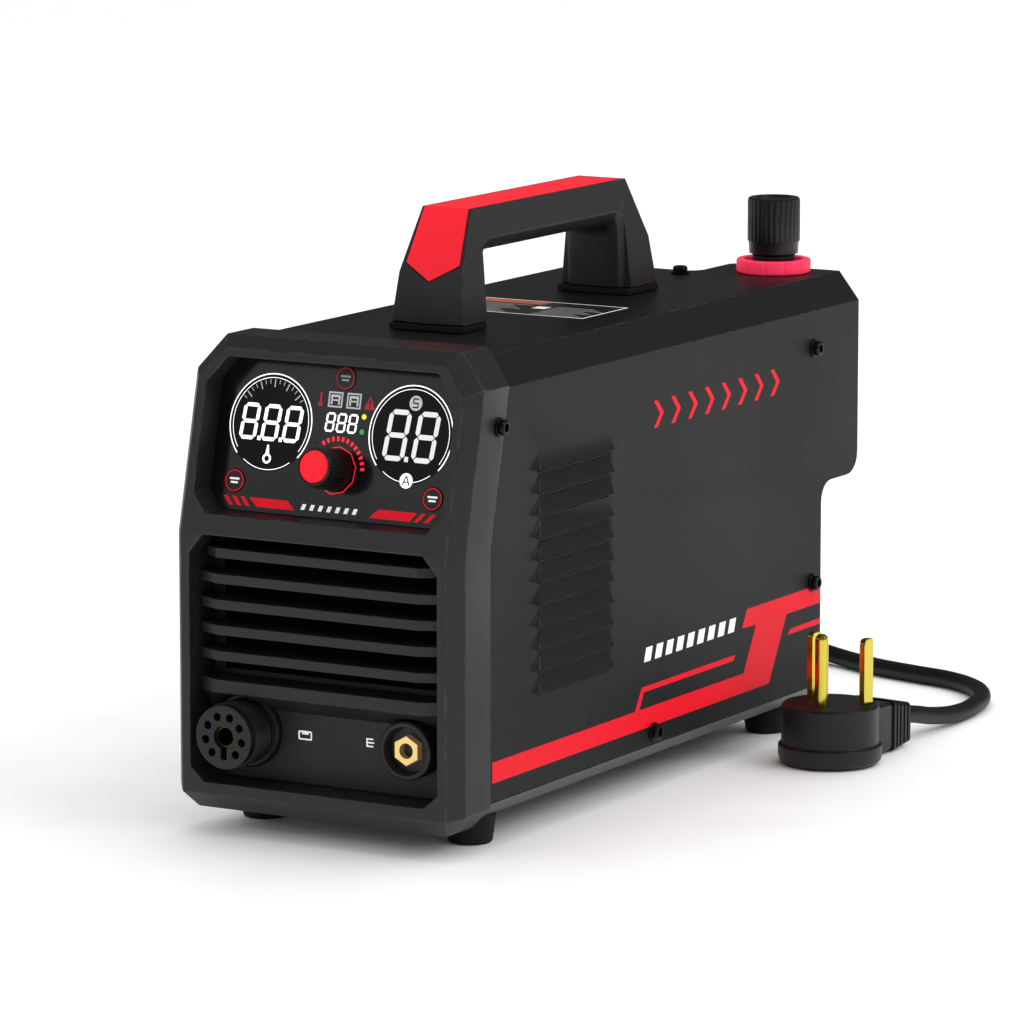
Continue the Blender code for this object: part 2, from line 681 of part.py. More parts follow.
def feet_and_screws():
    """Four tapered rubber feet, and the screws that hold the cover and the bezel."""
    for row, y in FOOT_ROWS.items():
        for side, x in FEET.items():
            profile = [(0, 0), (9.6, 0), (10.4, 1.0), (12.2, 14.2), (0, 14.2)]
            finish(turned(f"foot_{row}_{side}", profile, 20, at=(x, y, 0)), BLACK, 0.8)
    head = [(0, 4.2), (2.6, 4.2), (3.9, 3.3), (4.1, 1.2), (5.0, 1.0), (5.0, 0.1), (1.9, 0.1)]
    head += [(1.9, -6.0), (0, -6.0)]
    head = list(reversed(head))
    for side, sign in (("left", -1), ("right", 1)):
        flipped = [(r, sign * h) for r, h in head]
        for name, (y, z) in SIDE_SCREWS.items():
            at = (sign * (HALF_WIDTH + 0.2), y, z)
            finish(turned(f"screw_{name}_{side}", flipped, 10, "X", at), BLACK, 0.35, 0.6)
        at = (sign * (BEZEL_HALF + 0.2), *BEZEL_SCREW)
        finish(turned(f"screw_bezel_{side}", flipped, 10, "X", at), BLACK, 0.35, 0.6)
    at = (*TOP_SCREW, TOP + 0.2)
    finish(turned("screw_top", head, 10, "Z", at), BLACK, 0.35, 0.6)


# ---------------------------------------------------------------- rear


def regulator():
    """The air filter and pressure regulator hung from the hood by its ring nut."""
    x, y = REGULATOR_AT
    body = block("regulator_body", (x - 20, 163.6, 172), (x + 20, 201.5, 206))
    join(body, rod("bonnet", 14.2, 32, "Z", 205, 228, REGULATOR_AT))
    join(body, rod("neck", 17, 32, "Z", 166, 173, REGULATOR_AT))
    cut(body, rod("cut", 5.4, 20, "Z", 209, 230, REGULATOR_AT))
    cut(body, rod("cut", 5.2, 20, "X", x - 30, x - 12, (y, 190)))
    join(body, rod("outlet", 6.3, 20, "Y", 140, 166, (x, 190)))
    join(body, rod("barb", 4.0, 20, "Z", 168, 190, (x, 146)))
    finish(body, ALUMINIUM, 0.45, 0.8)

    lobes = []
    for i in range(36):
        lobes.append((RING_RADIUS if i % 3 else RING_RADIUS - 0.9, 2 * math.pi * i / 36))
    plan = [(x + r * math.cos(a), y + r * math.sin(a)) for r, a in lobes]
    ring = prism("regulator_ring", plan, "Z", TOP + GAP, TOP + 7.0)
    cut(ring, rod("cut", 14.5, 32, "Z", TOP - 5, TOP + 12, REGULATOR_AT))
    finish(ring, RED, 0.45)

    stem = [(0, 212), (5.0, 212), (5.0, 229), (10.8, 229), (10.8, 235.5), (4.0, 235.5), (4.0, 252)]
    stem.append((0, 252))
    finish(turned("regulator_stem", stem, 24, at=(x, y, 0)), BLACK, 0.5)

    low, high = 236.2, 264.6
    plan = []
    for i in range(40):
        reach = DIAL_RADIUS if i % 2 else DIAL_RADIUS - 0.5
        plan.append((reach, 2 * math.pi * i / 40))
    rings = []
    for scale, z in ((0.93, low), (0.955, 242.3), (1.0, 242.8), (1.0, high - 1.0), (0.93, high)):
        rings.append([(x + scale * r * math.cos(a), y + scale * r * math.sin(a), z) for r, a in plan])
    dial = loft("regulator_knob", rings)
    cut(dial, rod("cut", 4.3, 20, "Z", low - 3, 257.0, REGULATOR_AT))
    cut(dial, rod("cut", 8.6, 24, "Z", high - 0.8, high + 2, REGULATOR_AT))
    finish(dial, BLACK, 0.42)

    bowl = [(0, 112), (10, 112), (15.4, 117), (16.4, 124), (16.4, 165.7), (14.8, 165.7)]
    bowl += [(14.8, 125), (12.6, 119), (6.0, 116.0), (0, 116.0)]
    glass = turned("filter_bowl", bowl, 24, at=(x, y, 0))
    cut(glass, rod("cut", 3.3, 16, "Z", 105, 120, REGULATOR_AT))
    finish(glass, (0.55, 0.6, 0.65), 0.15)
    drain = [(0, 104), (4.6, 104), (4.6, 108.6), (3.0, 108.6), (3.0, 116.3), (4.4, 116.3)]
    drain += [(4.4, 118), (0, 118)]
    finish(turned("drain_button", drain, 20, at=(x, y, 0)), BLACK, 0.4)

    nipple = [(0, -40), (3.2, -40), (4.2, -37), (4.2, -34), (3.4, -33), (3.4, -30), (5.6, -29)]
    nipple += [(5.6, -26), (8.2, -25.7), (8.2, -20.4), (4.9, -20.4), (4.9, -13), (0, -13)]
    inlet = turned("air_inlet", nipple, 20, "X", (x, y, 190))
    finish(inlet, BRASS, 0.3, 1.0)


def rear_fittings():
    """The fan with its guard, the power rocker and the cord gland."""
    x, z = FAN_AT
    half = FAN_SIDE / 2
    frame = prism(
        "fan_frame",
        rounded(rectangle(x - half, z - half, x + half, z + half), (5,) * 4, 2),
        "Y",
        135,
        160.2,
    )
    cut(frame, rod("cut", FAN_BORE, 40, "Y", 137.5, 170, FAN_AT))
    cut(frame, rod("cut", FAN_BORE, 40, "Y", 130, 140, FAN_AT))
    for turn in (0.5, 2.594, 4.689):
        arm = [(14, -2), (39, -2), (39, 2), (14, 2)]
        bar = [
            (x + a * math.cos(turn) - b * math.sin(turn), z + a * math.sin(turn) + b * math.cos(turn))
            for a, b in arm
        ]
        join(frame, prism("arm", bar, "Y", 135.3, 137.8))
    motor = [(0, 0), (17, 0), (17, 3.0), (3.0, 3.0), (3.0, 11), (0, 11)]
    join(frame, turned("motor", motor, 24, "Y", (x, 135.1, z)))
    finish(frame, BLACK, 0.5)

    rotor = rod("fan_rotor", 16, 28, "Y", 139.2, 157.5, FAN_AT)
    cut(rotor, rod("cut", 3.4, 16, "Y", 130, 148, FAN_AT))
    for i in range(7):
        base = 2 * math.pi * i / 7
        rings = []
        for radius in (13.0, 24.0, 35.5):
            ring = []
            for y, swing in ((141.0, -0.24), (141.0, -0.18), (156.0, 0.24), (156.0, 0.18)):
                angle = base + swing * (1.25 - radius / 90)
                ring.append((x + radius * math.cos(angle), y, z + radius * math.sin(angle)))
            rings.append(ring)
        join(rotor, loft("blade", rings))
    finish(rotor, BLACK, 0.5)

    guard = None
    for radius in (38.5, 26.5, 14.5):
        hoop = [(radius - 1.5, 0), (radius, 0), (radius, 1.6), (radius - 1.5, 1.6)]
        ring = turned("fan_guard", hoop, 24, "Y", (x, 162.3, z))
        guard = join(guard, ring) if guard else ring
    for angle in (45, 135):
        a = math.radians(angle)
        ends = [(-46, -1), (46, -1), (46, 1), (-46, 1)]
        bar = [
            (x + p * math.cos(a) - q * math.sin(a), z + p * math.sin(a) + q * math.cos(a))
            for p, q in ends
        ]
        join(guard, prism("bar", bar, "Y", 162.35, 163.8))
    finish(guard, ALUMINIUM, 0.3, 1.0)

    frame = block("switch_frame", (-57, REAR_PANEL + SHEET + GAP, 172), (-23, 164.2, 200))
    join(frame, block("body", (-54, 140, 175), (-26, 163, 197)))
    cut(frame, block("cut", (-51.5, 150, 177.5), (-28.5, 170, 194.5)))
    finish(frame, BLACK, 0.4, smooth=False)
    half = [(1.6, -7.9), (0.0, 0.0), (1.6, 7.9), (-3.0, 5.6), (-7.0, 2.5), (-7.0, -2.5), (-3.0, -5.6)]
    tilt = math.radians(ROCKER_TILT)
    outline = [
        (
            ROCKER_PIVOT[0] + y * math.cos(tilt) - z * math.sin(tilt),
            ROCKER_PIVOT[1] + y * math.sin(tilt) + z * math.cos(tilt),
        )
        for y, z in half
    ]
    rocker = prism("switch_rocker", outline, "X", -51.0, -29.0)
    finish(rocker, RED, 0.35, smooth=False)

    x, z = GLAND_AT
    gland = [(0, 150), (8.0, 150), (8.0, 162.3), (13, 162.3), (13, 166), (11, 167), (11, 174)]
    gland += [(8.6, 176), (5.6, GLAND_END), (0, GLAND_END)]
    finish(turned("cord_gland", gland, 20, "Y", (x, 0, z)), BLACK, 0.6)


# ---------------------------------------------------------------- inside


def innards():
    """The inverter's heat sink, boards, wound parts, capacitors, air valve and hose."""
    sink = block("heat_sink", (-34, -66, 17), (34, 118, 26))
    for i in range(9):
        left = -33.0 + 8.0 * i
        join(sink, block("fin", (left, -65.5, 24), (left + 2.2, 117.5, 92)))
    finish(sink, ALUMINIUM, 0.4, 1.0, smooth=False)
    board = block("power_board", (-64, -110, 122), (64, 122, 123.8))
    finish(board, GREEN, 0.5, smooth=False)
    can = [(0, 124.1), (16, 124.1), (16, 170), (14.5, 171.5), (0, 171.5)]
    finish(turned("bus_capacitor", can, 28, at=(-30, -60, 0)), (0.02, 0.03, 0.08), 0.35)
    core = block("transformer_core", (-62, -116, 16.4), (-10, -78, 62))
    cut(core, block("cut", (-53, -125, 26), (-41, -70, 52)))
    cut(core, block("cut", (-31, -125, 26), (-19, -70, 52)))
    finish(core, (0.03, 0.03, 0.03), 0.7, smooth=False)
    coil = block("transformer_winding", (-52.6, -125, 26.4), (-19.4, -69, 51.6))
    cut(coil, block("cut", (-41.3, -117, 20), (-30.7, -77, 60)))
    finish(coil, COPPER, 0.4, 0.6, smooth=False)
    valve = block("air_valve", (48, 96, 30), (68, 122, 52))
    join(valve, rod("coil", 9.5, 24, "Z", 51, 78, (58, 109)))
    finish(valve, BRASS, 0.4, 0.8)

    hose = spline_tube(
        "air_hose",
        (
            (58.0, 95.6, 41.0),
            (58.0, 60.0, 38.0),
            (60.0, 0.0, 30.0),
            (62.0, -70.0, 60.0),
            (40.0, -110.0, 76.0),
            (5.0, -128.0, 80.0),
            (-28.0, -134.0, 72.0),
            (-43.0, -137.0, 58.0),
            (-45.0, -147.5, 47.9),
            (-45.0, -156.8, 47.8),
        ),
        3.6,
        22,
        2,
    )
    finish(hose, (0.05, 0.12, 0.45), 0.5)
    feed = spline_tube(
        "air_feed_hose",
        (
            (REGULATOR_AT[0], 146.0, 167.7),
            (REGULATOR_AT[0] + 1, 145.0, 150.0),
            (48.0, 134.0, 118.0),
            (57.0, 115.0, 98.0),
            (58.0, 109.0, 86.0),
            (58.0, 109.0, 78.5),
        ),
        3.6,
        14,
        2,
    )
    finish(feed, (0.05, 0.12, 0.45), 0.5)


# ---------------------------------------------------------------- mains lead


def smooth_route(points, count):
    """Evenly spread points on a smooth curve through the given points."""
    knots = [Vector(point) for point in points]
    knots = [knots[0] * 2 - knots[1]] + knots + [knots[-1] * 2 - knots[-2]]
    fine = []
    for a, b, c, d in zip(knots, knots[1:], knots[2:], knots[3:]):
        for step in range(24):
            t = step / 24
            fine.append(
                0.5 * (2 * b + (c - a) * t + (2 * a - 5 * b + 4 * c - d) * t**2
                       + (3 * b - a - 3 * c + d) * t**3)
            )
    fine.append(knots[-2])
    length = [0.0]
    for before, after in zip(fine, fine[1:]):
        length.append(length[-1] + (after - before).length)
    result = []
    place = 0
    for i in range(count):
        target = length[-1] * i / (count - 1)
        while place < len(fine) - 2 and length[place + 1] < target:
            place += 1
        span = length[place + 1] - length[place]
        share = (target - length[place]) / span
        result.append(fine[place].lerp(fine[place + 1], min(1.0, share)))
    return result


def spline_tube(name, points, radius, count, resolution):
    """A round tube along a smooth route, with filled ends."""
    curve = bpy.data.curves.new(name, "CURVE")
    curve.dimensions = "3D"
    curve.bevel_depth = radius * MM
    curve.bevel_resolution = resolution
    curve.use_fill_caps = True
    spline = curve.splines.new("POLY")
    route = smooth_route(points, count)
    spline.points.add(count - 1)
    for point, place in zip(spline.points, route):
        point.co = (*(place * MM), 1.0)
    obj = bpy.data.objects.new(name, curve)
    bpy.context.scene.collection.objects.link(obj)
    return curve_object(obj)


def curve_object(obj):
    """Turns a curve object into a mesh object with closed ends."""
    name = obj.name
    bpy.context.view_layer.update()
    graph = bpy.context.evaluated_depsgraph_get()
    mesh = bpy.data.meshes.new_from_object(obj.evaluated_get(graph))
    bpy.data.objects.remove(obj)
    shape = bmesh.new()
    shape.from_mesh(mesh)
    bmesh.ops.remove_doubles(shape, verts=shape.verts, dist=1e-6)
    bmesh.ops.recalc_face_normals(shape, faces=shape.faces)
    shape.to_mesh(mesh)
    shape.free()
    result = bpy.data.objects.new(name, mesh)
    result.name = name
    bpy.context.scene.collection.objects.link(result)
    return result


def mains_lead():
    """The lead from the gland, its stored coil, the run to the plug, and the plug."""
    finish(spline_tube("power_cord_lead", LEAD_ROUTE, CORD_RADIUS, 9, 3), BLACK, 0.55)
    finish(spline_tube("power_cord_run", RUN_ROUTE, CORD_RADIUS, 22, 3), BLACK, 0.55)
    ring = [(COIL_INNER, 0), (COIL_OUTER, 0), (COIL_OUTER, COIL_HEIGHT), (COIL_INNER, COIL_HEIGHT)]
    coil = turned("power_cord_coil", ring, 40, at=(*COIL_AT, 0))
    finish(coil, BLACK, 0.55)

    turn = math.radians(PLUG_TURN)

    def turned_round(obj):
        obj.location = (PLUG_AT[0] * MM, PLUG_AT[1] * MM, 0)
        obj.rotation_euler = (0, 0, turn)
        return obj

    low = [(0, 0), (22.5, 0), (25.0, 2.2), (PLUG_RADIUS, 4.6), (PLUG_RADIUS, 9.6)]
    low += [(PLUG_BODY_RADIUS, 10.6), (PLUG_BODY_RADIUS, PLUG_TOP - 1), (23.0, PLUG_TOP), (0, PLUG_TOP)]
    body = turned("plug_body", low, 44)
    tail = []
    steps = ((13.5, 8, 1.2, 26.5), (12.5, 34, 1.2, 26.0), (9.0, PLUG_TAIL, 3.2, 20.5))
    for wide, along, bottom, top in steps:
        for side in (-1, 1):
            tail += [(side * wide, along, bottom + 1.5), (side * wide, along, top - 1.5)]
            tail += [(side * (wide - 1.5), along, bottom), (side * (wide - 1.5), along, top)]
    join(body, hull("tail", tail))
    sockets_at = {
        "plug_blade_left": (-BLADE_SPREAD, 8.5),
        "plug_blade_right": (BLADE_SPREAD, 8.5),
    }
    for x, y in sockets_at.values():
        cut(body, block("cut", (x - 1.9, y - 4.2, PLUG_TOP - 6), (x + 1.9, y + 4.2, PLUG_TOP + 5)))
    cut(body, rod("cut", 3.6, 20, "Z", PLUG_TOP - 6, PLUG_TOP + 5, (0, -8.0)))
    finish(turned_round(body), BLACK, 0.5)
    for name, (x, y) in sockets_at.items():
        outline = rounded(rectangle(y - 3.9, PLUG_TOP - 5.7, y + 3.9, BLADE_TOP), (0, 0, 2.6, 2.6), 3)
        blade = prism(name, outline, "X", x - 1.55, x + 1.55)
        finish(turned_round(blade), BRASS, 0.22, 1.0)
    pin = [(0, PLUG_TOP - 5.7), (3.3, PLUG_TOP - 5.7), (3.3, EARTH_TOP - 3.2), (2.9, EARTH_TOP - 1.5)]
    pin += [(1.7, EARTH_TOP - 0.3), (0, EARTH_TOP)]
    earth = turned("plug_earth_pin", pin, 24, at=(0, -8.0, 0))
    finish(turned_round(earth), BRASS, 0.22, 1.0)


def build():
    for obj in list(bpy.data.objects):
        bpy.data.objects.remove(obj)
    front_bezel()
    front_grille()
    display_fascia()
    display_board()
    controls()
    sockets()
    housing_cover()
    base_pan()
    rear_panel()
    handle()
    feet_and_screws()
    regulator()
    rear_fittings()
    innards()
    mains_lead()


build()
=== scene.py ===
"""Looks of the inverter plasma cutter unit: finishes, markings and fine shapes on its frame.

Shapes are in millimetres, which the mesh helpers turn into metres. The camera, the lights and the
finishes' bump depth are in metres.
"""

import json
import math

import bmesh
import bpy
from mathutils import Matrix, Vector

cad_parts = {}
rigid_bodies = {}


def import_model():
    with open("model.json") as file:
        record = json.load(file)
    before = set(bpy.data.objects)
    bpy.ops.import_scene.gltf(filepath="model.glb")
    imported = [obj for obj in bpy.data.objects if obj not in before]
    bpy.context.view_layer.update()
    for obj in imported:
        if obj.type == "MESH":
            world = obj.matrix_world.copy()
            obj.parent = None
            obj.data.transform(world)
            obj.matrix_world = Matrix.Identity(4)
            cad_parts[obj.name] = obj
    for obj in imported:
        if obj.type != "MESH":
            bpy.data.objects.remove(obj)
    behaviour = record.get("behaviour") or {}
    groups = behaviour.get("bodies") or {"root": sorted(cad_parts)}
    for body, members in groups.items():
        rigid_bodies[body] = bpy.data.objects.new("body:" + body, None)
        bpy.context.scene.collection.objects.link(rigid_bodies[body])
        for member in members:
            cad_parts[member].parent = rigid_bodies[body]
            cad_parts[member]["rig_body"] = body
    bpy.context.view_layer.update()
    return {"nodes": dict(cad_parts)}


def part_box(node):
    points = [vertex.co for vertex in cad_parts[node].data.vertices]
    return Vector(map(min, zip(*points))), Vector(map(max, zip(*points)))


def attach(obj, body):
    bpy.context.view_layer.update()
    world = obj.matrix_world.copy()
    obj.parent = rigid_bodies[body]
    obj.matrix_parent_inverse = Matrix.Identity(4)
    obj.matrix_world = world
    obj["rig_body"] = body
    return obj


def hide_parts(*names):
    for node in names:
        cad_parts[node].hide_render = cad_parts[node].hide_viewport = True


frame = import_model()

MM = 0.001

# Surfaces that the markings and fine pieces sit on
FASCIA_FOOT = 140.1
FASCIA_FRONT = -184.6
FASCIA_LEAN = 0.235
FASCIA_ANGLE = math.atan(FASCIA_LEAN)
PANEL_FRONT = -180.7
SIDE = 75.0
TOP = 226.6

# How far printed and lit shapes stand proud, and how deep they start
INK = 0.06
LIT = 0.1
UNDER = -0.05

# Round displays and the knob between them, as (x, z) on the fascia
GAUGE_RADIUS = 22.3
GAUGE_LEFT = (-37.6, 191.0)
GAUGE_RIGHT = (37.6, 191.0)
KNOB_AT = (0.0, 172.3)

# How far a lit figure leans right for each millimetre up
DIGIT_LEAN = 0.09

# Finishes
BUMP_DEPTH = 0.0002
# Patches of lighter colour painted on rounded edges as a highlight
HIGHLIGHT_GRAIN = 160.0
HIGHLIGHT_FROM = 0.42
HIGHLIGHT_TO = 0.68
SHEEN_FROM = 0.25
SHEEN_TO = 0.75

# Camera
AZIMUTH = math.radians(30.06)
ELEVATION = math.radians(9.54)
DISTANCE = 2.89687
TARGET = Vector((0.0, -0.0187, 0.1293))
LENS = 211.75
SENSOR = 36.0
NUDGE_RIGHT = 0.00138
NUDGE_UP = 0.00069

# Stage
FLOOR_HALF = 14.0
SKY_LEVEL = 0.95
SKY_IN_GLOSS = 0.13
LIGHTS = (
    ("overhead", (0.0, 2.4, 4.6), 8.0, 190.0),
    ("side", (2.6, 0.4, 2.2), 1.6, 30.0),
    ("front", (-1.4, -3.0, 1.8), 2.0, 16.0),
)
AIM = Vector((0.0, 0.0, 0.12))

# Mains lead: off the gland, round the coil clockwise from COIL_START, and on to the plug.
# A radius or height is its first level, then (from, to, next level) in degrees round the coil.
CORD_RADIUS = 4.5
CORD_EXIT = (-56.0, 201.4, 38.0)
LEAD_ROUTE = (
    CORD_EXIT,
    (-56.5, 204.8, 37.8),
    (-58.7, 212.7, 37.2),
    (-62.6, 220.0, 36.3),
    (-67.9, 226.3, 35.0),
    (-74.4, 231.4, 33.5),
    (-81.5, 234.9, 32.0),
    (-88.5, 238.4, 30.4),
    (-95.0, 243.4, 28.8),
    (-100.3, 249.7, 27.2),
    (-104.2, 257.0, 25.9),
    (-106.5, 264.9, 24.8),
    (-107.0, 273.8, 24.0),
    (-105.5, 282.6, 23.5),
)
COIL_AT = (-55.0, 262.0)
COIL_START = 142.5
COIL_END = 1492.5
COIL_STEP = 12.5
COIL_RADII = (55.3, ((0, 100, 45.4), (305, 430, 36.3), (515, 640, 45.4), (875, 1000, 54.6)))
COIL_HEIGHTS = (23.3, ((75, 150, 13.75), (405, 535, 4.6), (1185, 1290, 13.75)))
RUN_ROUTE = (
    (-40.0, 318.4, 12.9),
    (-25.0, 319.6, 10.4),
    (5.0, 313.8, 5.6),
    (38.0, 300.0, 4.6),
    (66.0, 291.8, 4.6),
    (90.0, 285.5, 4.6),
    (109.0, 273.0, 4.6),
    (122.0, 255.0, 4.6),
    (128.5, 232.0, 4.6),
    (130.5, 207.0, 5.0),
    (129.3, 182.0, 8.0),
    (127.2, 160.0, 12.5),
    (125.6, 147.6, 13.6),
)

# Mains plug, which lies on the floor
PLUG_AT = (119.2, 89.0, 0.0)
PLUG_TURN = math.radians(-6.6)


# ---------------------------------------------------------------- finishes


def linear(code):
    """A hex colour as linear light."""
    parts = [int(code[i : i + 2], 16) / 255 for i in (0, 2, 4)]
    return [c / 12.92 if c <= 0.04045 else ((c + 0.055) / 1.055) ** 2.4 for c in parts]


def finish(
    name,
    dark,
    light,
    rough,
    metallic=0.0,
    grain=1600.0,
    bump=0.15,
    blotch=22.0,
    spread=0.06,
    specular=0.35,
    stretch=(1.0, 1.0, 1.0),
    highlight_strength=0.0,
    highlight_colour="8a8a8a",
    glow=0.0,
):
    """A material: two close colours in soft patches, a fine grain, and if asked for, lighter patches
    painted as a highlight on rounded edges.
    """
    material = bpy.data.materials.new(name)
    material.use_nodes = True
    nodes = material.node_tree.nodes
    links = material.node_tree.links
    shader = nodes["Principled BSDF"]
    place = nodes.new("ShaderNodeTexCoord")
    scale = nodes.new("ShaderNodeMapping")
    scale.inputs["Scale"].default_value = stretch
    links.new(place.outputs["Object"], scale.inputs["Vector"])

    def noise(size, detail):
        node = nodes.new("ShaderNodeTexNoise")
        node.inputs["Scale"].default_value = size
        node.inputs["Detail"].default_value = detail
        links.new(scale.outputs["Vector"], node.inputs["Vector"])
        return node.outputs["Fac"]

    patches = noise(blotch, 4.0)
    fine = noise(grain, 2.0)
    mix = nodes.new("ShaderNodeMix")
    mix.data_type = "RGBA"
    mix.inputs["A"].default_value = (*linear(dark), 1.0)
    mix.inputs["B"].default_value = (*linear(light), 1.0)
    links.new(patches, mix.inputs["Factor"])
    colour = mix.outputs["Result"]
    # Painted highlight: lighter patches mixed into the colour of rounded edges.
    if highlight_strength:
        highlight_mask = nodes.new("ShaderNodeMapRange")
        highlight_mask.inputs["From Min"].default_value = HIGHLIGHT_FROM
        highlight_mask.inputs["From Max"].default_value = HIGHLIGHT_TO
        highlight_mask.inputs["To Max"].default_value = highlight_strength
        links.new(noise(HIGHLIGHT_GRAIN, 5.0), highlight_mask.inputs["Value"])
        highlit = nodes.new("ShaderNodeMix")
        highlit.data_type = "RGBA"
        highlit.inputs["B"].default_value = (*linear(highlight_colour), 1.0)
        links.new(highlight_mask.outputs["Result"], highlit.inputs["Factor"])
        links.new(colour, highlit.inputs["A"])
        colour = highlit.outputs["Result"]
    links.new(colour, shader.inputs["Base Color"])
    sheen = nodes.new("ShaderNodeMapRange")
    sheen.inputs["From Min"].default_value = SHEEN_FROM
    sheen.inputs["From Max"].default_value = SHEEN_TO
    sheen.inputs["To Min"].default_value = max(0.02, rough - spread)
    sheen.inputs["To Max"].default_value = min(1.0, rough + spread)
    links.new(patches, sheen.inputs["Value"])
    links.new(sheen.outputs["Result"], shader.inputs["Roughness"])
    relief = nodes.new("ShaderNodeBump")
    relief.inputs["Strength"].default_value = bump
    relief.inputs["Distance"].default_value = BUMP_DEPTH
    links.new(fine, relief.inputs["Height"])
    links.new(relief.outputs["Normal"], shader.inputs["Normal"])
    shader.inputs["Metallic"].default_value = metallic
    shader.inputs["Specular IOR Level"].default_value = specular
    # Emission in the lighter colour: a lamp on the display's lit shapes, painted light on prints, the
    # red nut and the pale brass.
    if glow:
        shader.inputs["Emission Color"].default_value = (*linear(light), 1.0)
        shader.inputs["Emission Strength"].default_value = glow
    return material


# Each finish is its darker and lighter colour, its roughness, and what differs from the usual.
BRUSHED = (1.0, 1.0, 0.04)
FINISHES = {
    "bezel_plastic": ("1d1d1f", "222224", 0.46, dict(bump=0.3, grain=1300)),
    "grille_plastic": ("1b1b1d", "202022", 0.5, dict(bump=0.3, grain=1300)),
    "fascia_gloss": ("0b0b0c", "101012", 0.16, dict(bump=0.02, specular=0.3, spread=0.03)),
    "circuit_board": ("0b2c18", "14402a", 0.45, dict(blotch=140, grain=600, bump=0.4)),
    "knob_plastic": ("0d0d0e", "131314", 0.38, dict(bump=0.12)),
    "red_plastic": ("ea001c", "f40826", 0.42, dict(bump=0.12, spread=0.05, specular=0.25)),
    "button_plastic": ("0c0c0d", "121213", 0.3, dict(bump=0.08)),
    "socket_plastic": ("121213", "19191a", 0.42, dict(bump=0.15)),
    "brass_contact": ("cdbb45", "e6d45c", 0.2, dict(metallic=1.0, grain=900, bump=0.08)),
    "cover_paint": ("19191b", "1d1d1f", 0.42, dict(bump=0.22, grain=1100, blotch=9, specular=0.12)),
    "pan_paint": ("3a3a3c", "424244", 0.42, dict(bump=0.22, grain=1100)),
    "handle_plastic": ("1b1b1d", "212123", 0.48, dict(bump=0.3, grain=1300)),
    "rubber": ("0d0d0e", "141415", 0.7, dict(bump=0.5, grain=900, specular=0.25)),
    "black_steel": ("101011", "1b1b1c", 0.3, dict(metallic=0.6, grain=2200, bump=0.1)),
    "regulator_metal": ("8e9093", "a3a5a8", 0.36, dict(metallic=0.9, grain=700, bump=0.35)),
    "bowl_clear": ("a9b2b8", "bcc5ca", 0.12, dict(bump=0.02, specular=0.5)),
    "fan_plastic": ("0e0e0f", "161617", 0.4, dict(bump=0.15)),
    "guard_steel": ("a8a9ab", "c3c4c6", 0.22, dict(metallic=1.0, grain=1500, bump=0.05)),
    "sink_aluminium": ("9b9da0", "b5b7ba", 0.34, dict(metallic=1.0, stretch=BRUSHED, bump=0.2)),
    "capacitor_sleeve": ("10131d", "1a1f2d", 0.3, dict(bump=0.08)),
    "ferrite": ("1d1c1b", "292725", 0.72, dict(bump=0.6, grain=700)),
    "copper_winding": ("8a4a22", "b0652f", 0.32, dict(metallic=0.8, blotch=120, bump=0.4)),
    "blue_hose": ("12337a", "1b4594", 0.38, dict(bump=0.1)),
    "cord_jacket": ("0e0e0f", "151516", 0.5, dict(bump=0.35, grain=700)),
    "plug_plastic": ("121213", "181819", 0.42, dict(bump=0.25, grain=1000)),
}
# The lighter colour painted in patches on rounded edges, as a highlight.
EDGE_HIGHLIGHT_COLOURS = {
    "bezel_plastic": "3c3c3f",
    "grille_plastic": "38383a",
    "cover_paint": "46464a",
    "pan_paint": "6a6a6e",
    "handle_plastic": "3a3a3d",
    "red_plastic": "ff4a58",
    "plug_plastic": "303032",
    "socket_plastic": "303032",
    "black_steel": "5a5a5c",
}
# Finishes of printed, lit and added pieces, which get no painted edge highlight. The lit ones glow as
# the display's lamps; the glow on prints, the red nut and the pale brass is painted light.
PRINTS = {
    # The red and white prints glow a little: painted light, as ink is no lamp.
    "print_red": ("d40018", "e00420", 0.45, dict(bump=0.05, glow=0.1, specular=0.15)),
    "print_white": ("d9d9d9", "eeeeee", 0.45, dict(bump=0.05, glow=0.25)),
    "print_grey": ("8d8d8f", "a5a5a7", 0.5, dict(bump=0.05)),
    "lit_white": ("e6e8ea", "ffffff", 0.4, dict(bump=0.02, glow=0.75)),
    "lit_grey": ("9c9d9f", "b6b7b9", 0.4, dict(bump=0.02, glow=0.3)),
    "lit_pale": ("c0c1c3", "d4d5d7", 0.4, dict(bump=0.02, glow=0.45)),
    "lit_red": ("d01226", "ff1f38", 0.4, dict(bump=0.02, glow=0.45)),
    # dim_red glows as a dim lamp in the alarm icons; on the mode button's printed ring its glow is
    # painted light.
    "dim_red": ("8c1020", "a81628", 0.4, dict(bump=0.02, glow=0.2)),
    "lit_yellow": ("d8c81c", "f2e22c", 0.4, dict(bump=0.02, glow=0.5)),
    "lit_green": ("1c8a44", "28a052", 0.4, dict(bump=0.02, glow=0.4)),
    "lens_black": ("060607", "09090a", 0.25, dict(bump=0.02, specular=0.12, spread=0.02)),
    # The red nut and the pale brass contact glow a little: painted light.
    "ring_plastic": ("f42a52", "fc365e", 0.42, dict(bump=0.1, glow=0.2, specular=0.25)),
    "pale_brass": ("e4bc72", "f6d892", 0.3, dict(metallic=1.0, grain=900, bump=0.1, glow=0.08)),
    # Brass darkened as painted shade, for the inside of the torch socket's bore.
    "shaded_brass": ("3a3018", "564a26", 0.35, dict(metallic=1.0, bump=0.1)),
    # Black for the sheet behind the grille's slats: painted shade.
    "slat_shade_black": ("060606", "0b0b0b", 0.8, dict(bump=0.8, grain=1500, specular=0.15)),
    "label_black": ("1c1c1d", "262627", 0.42, dict(bump=0.05)),
    "label_orange": ("b4502a", "cc6436", 0.45, dict(bump=0.05)),
}
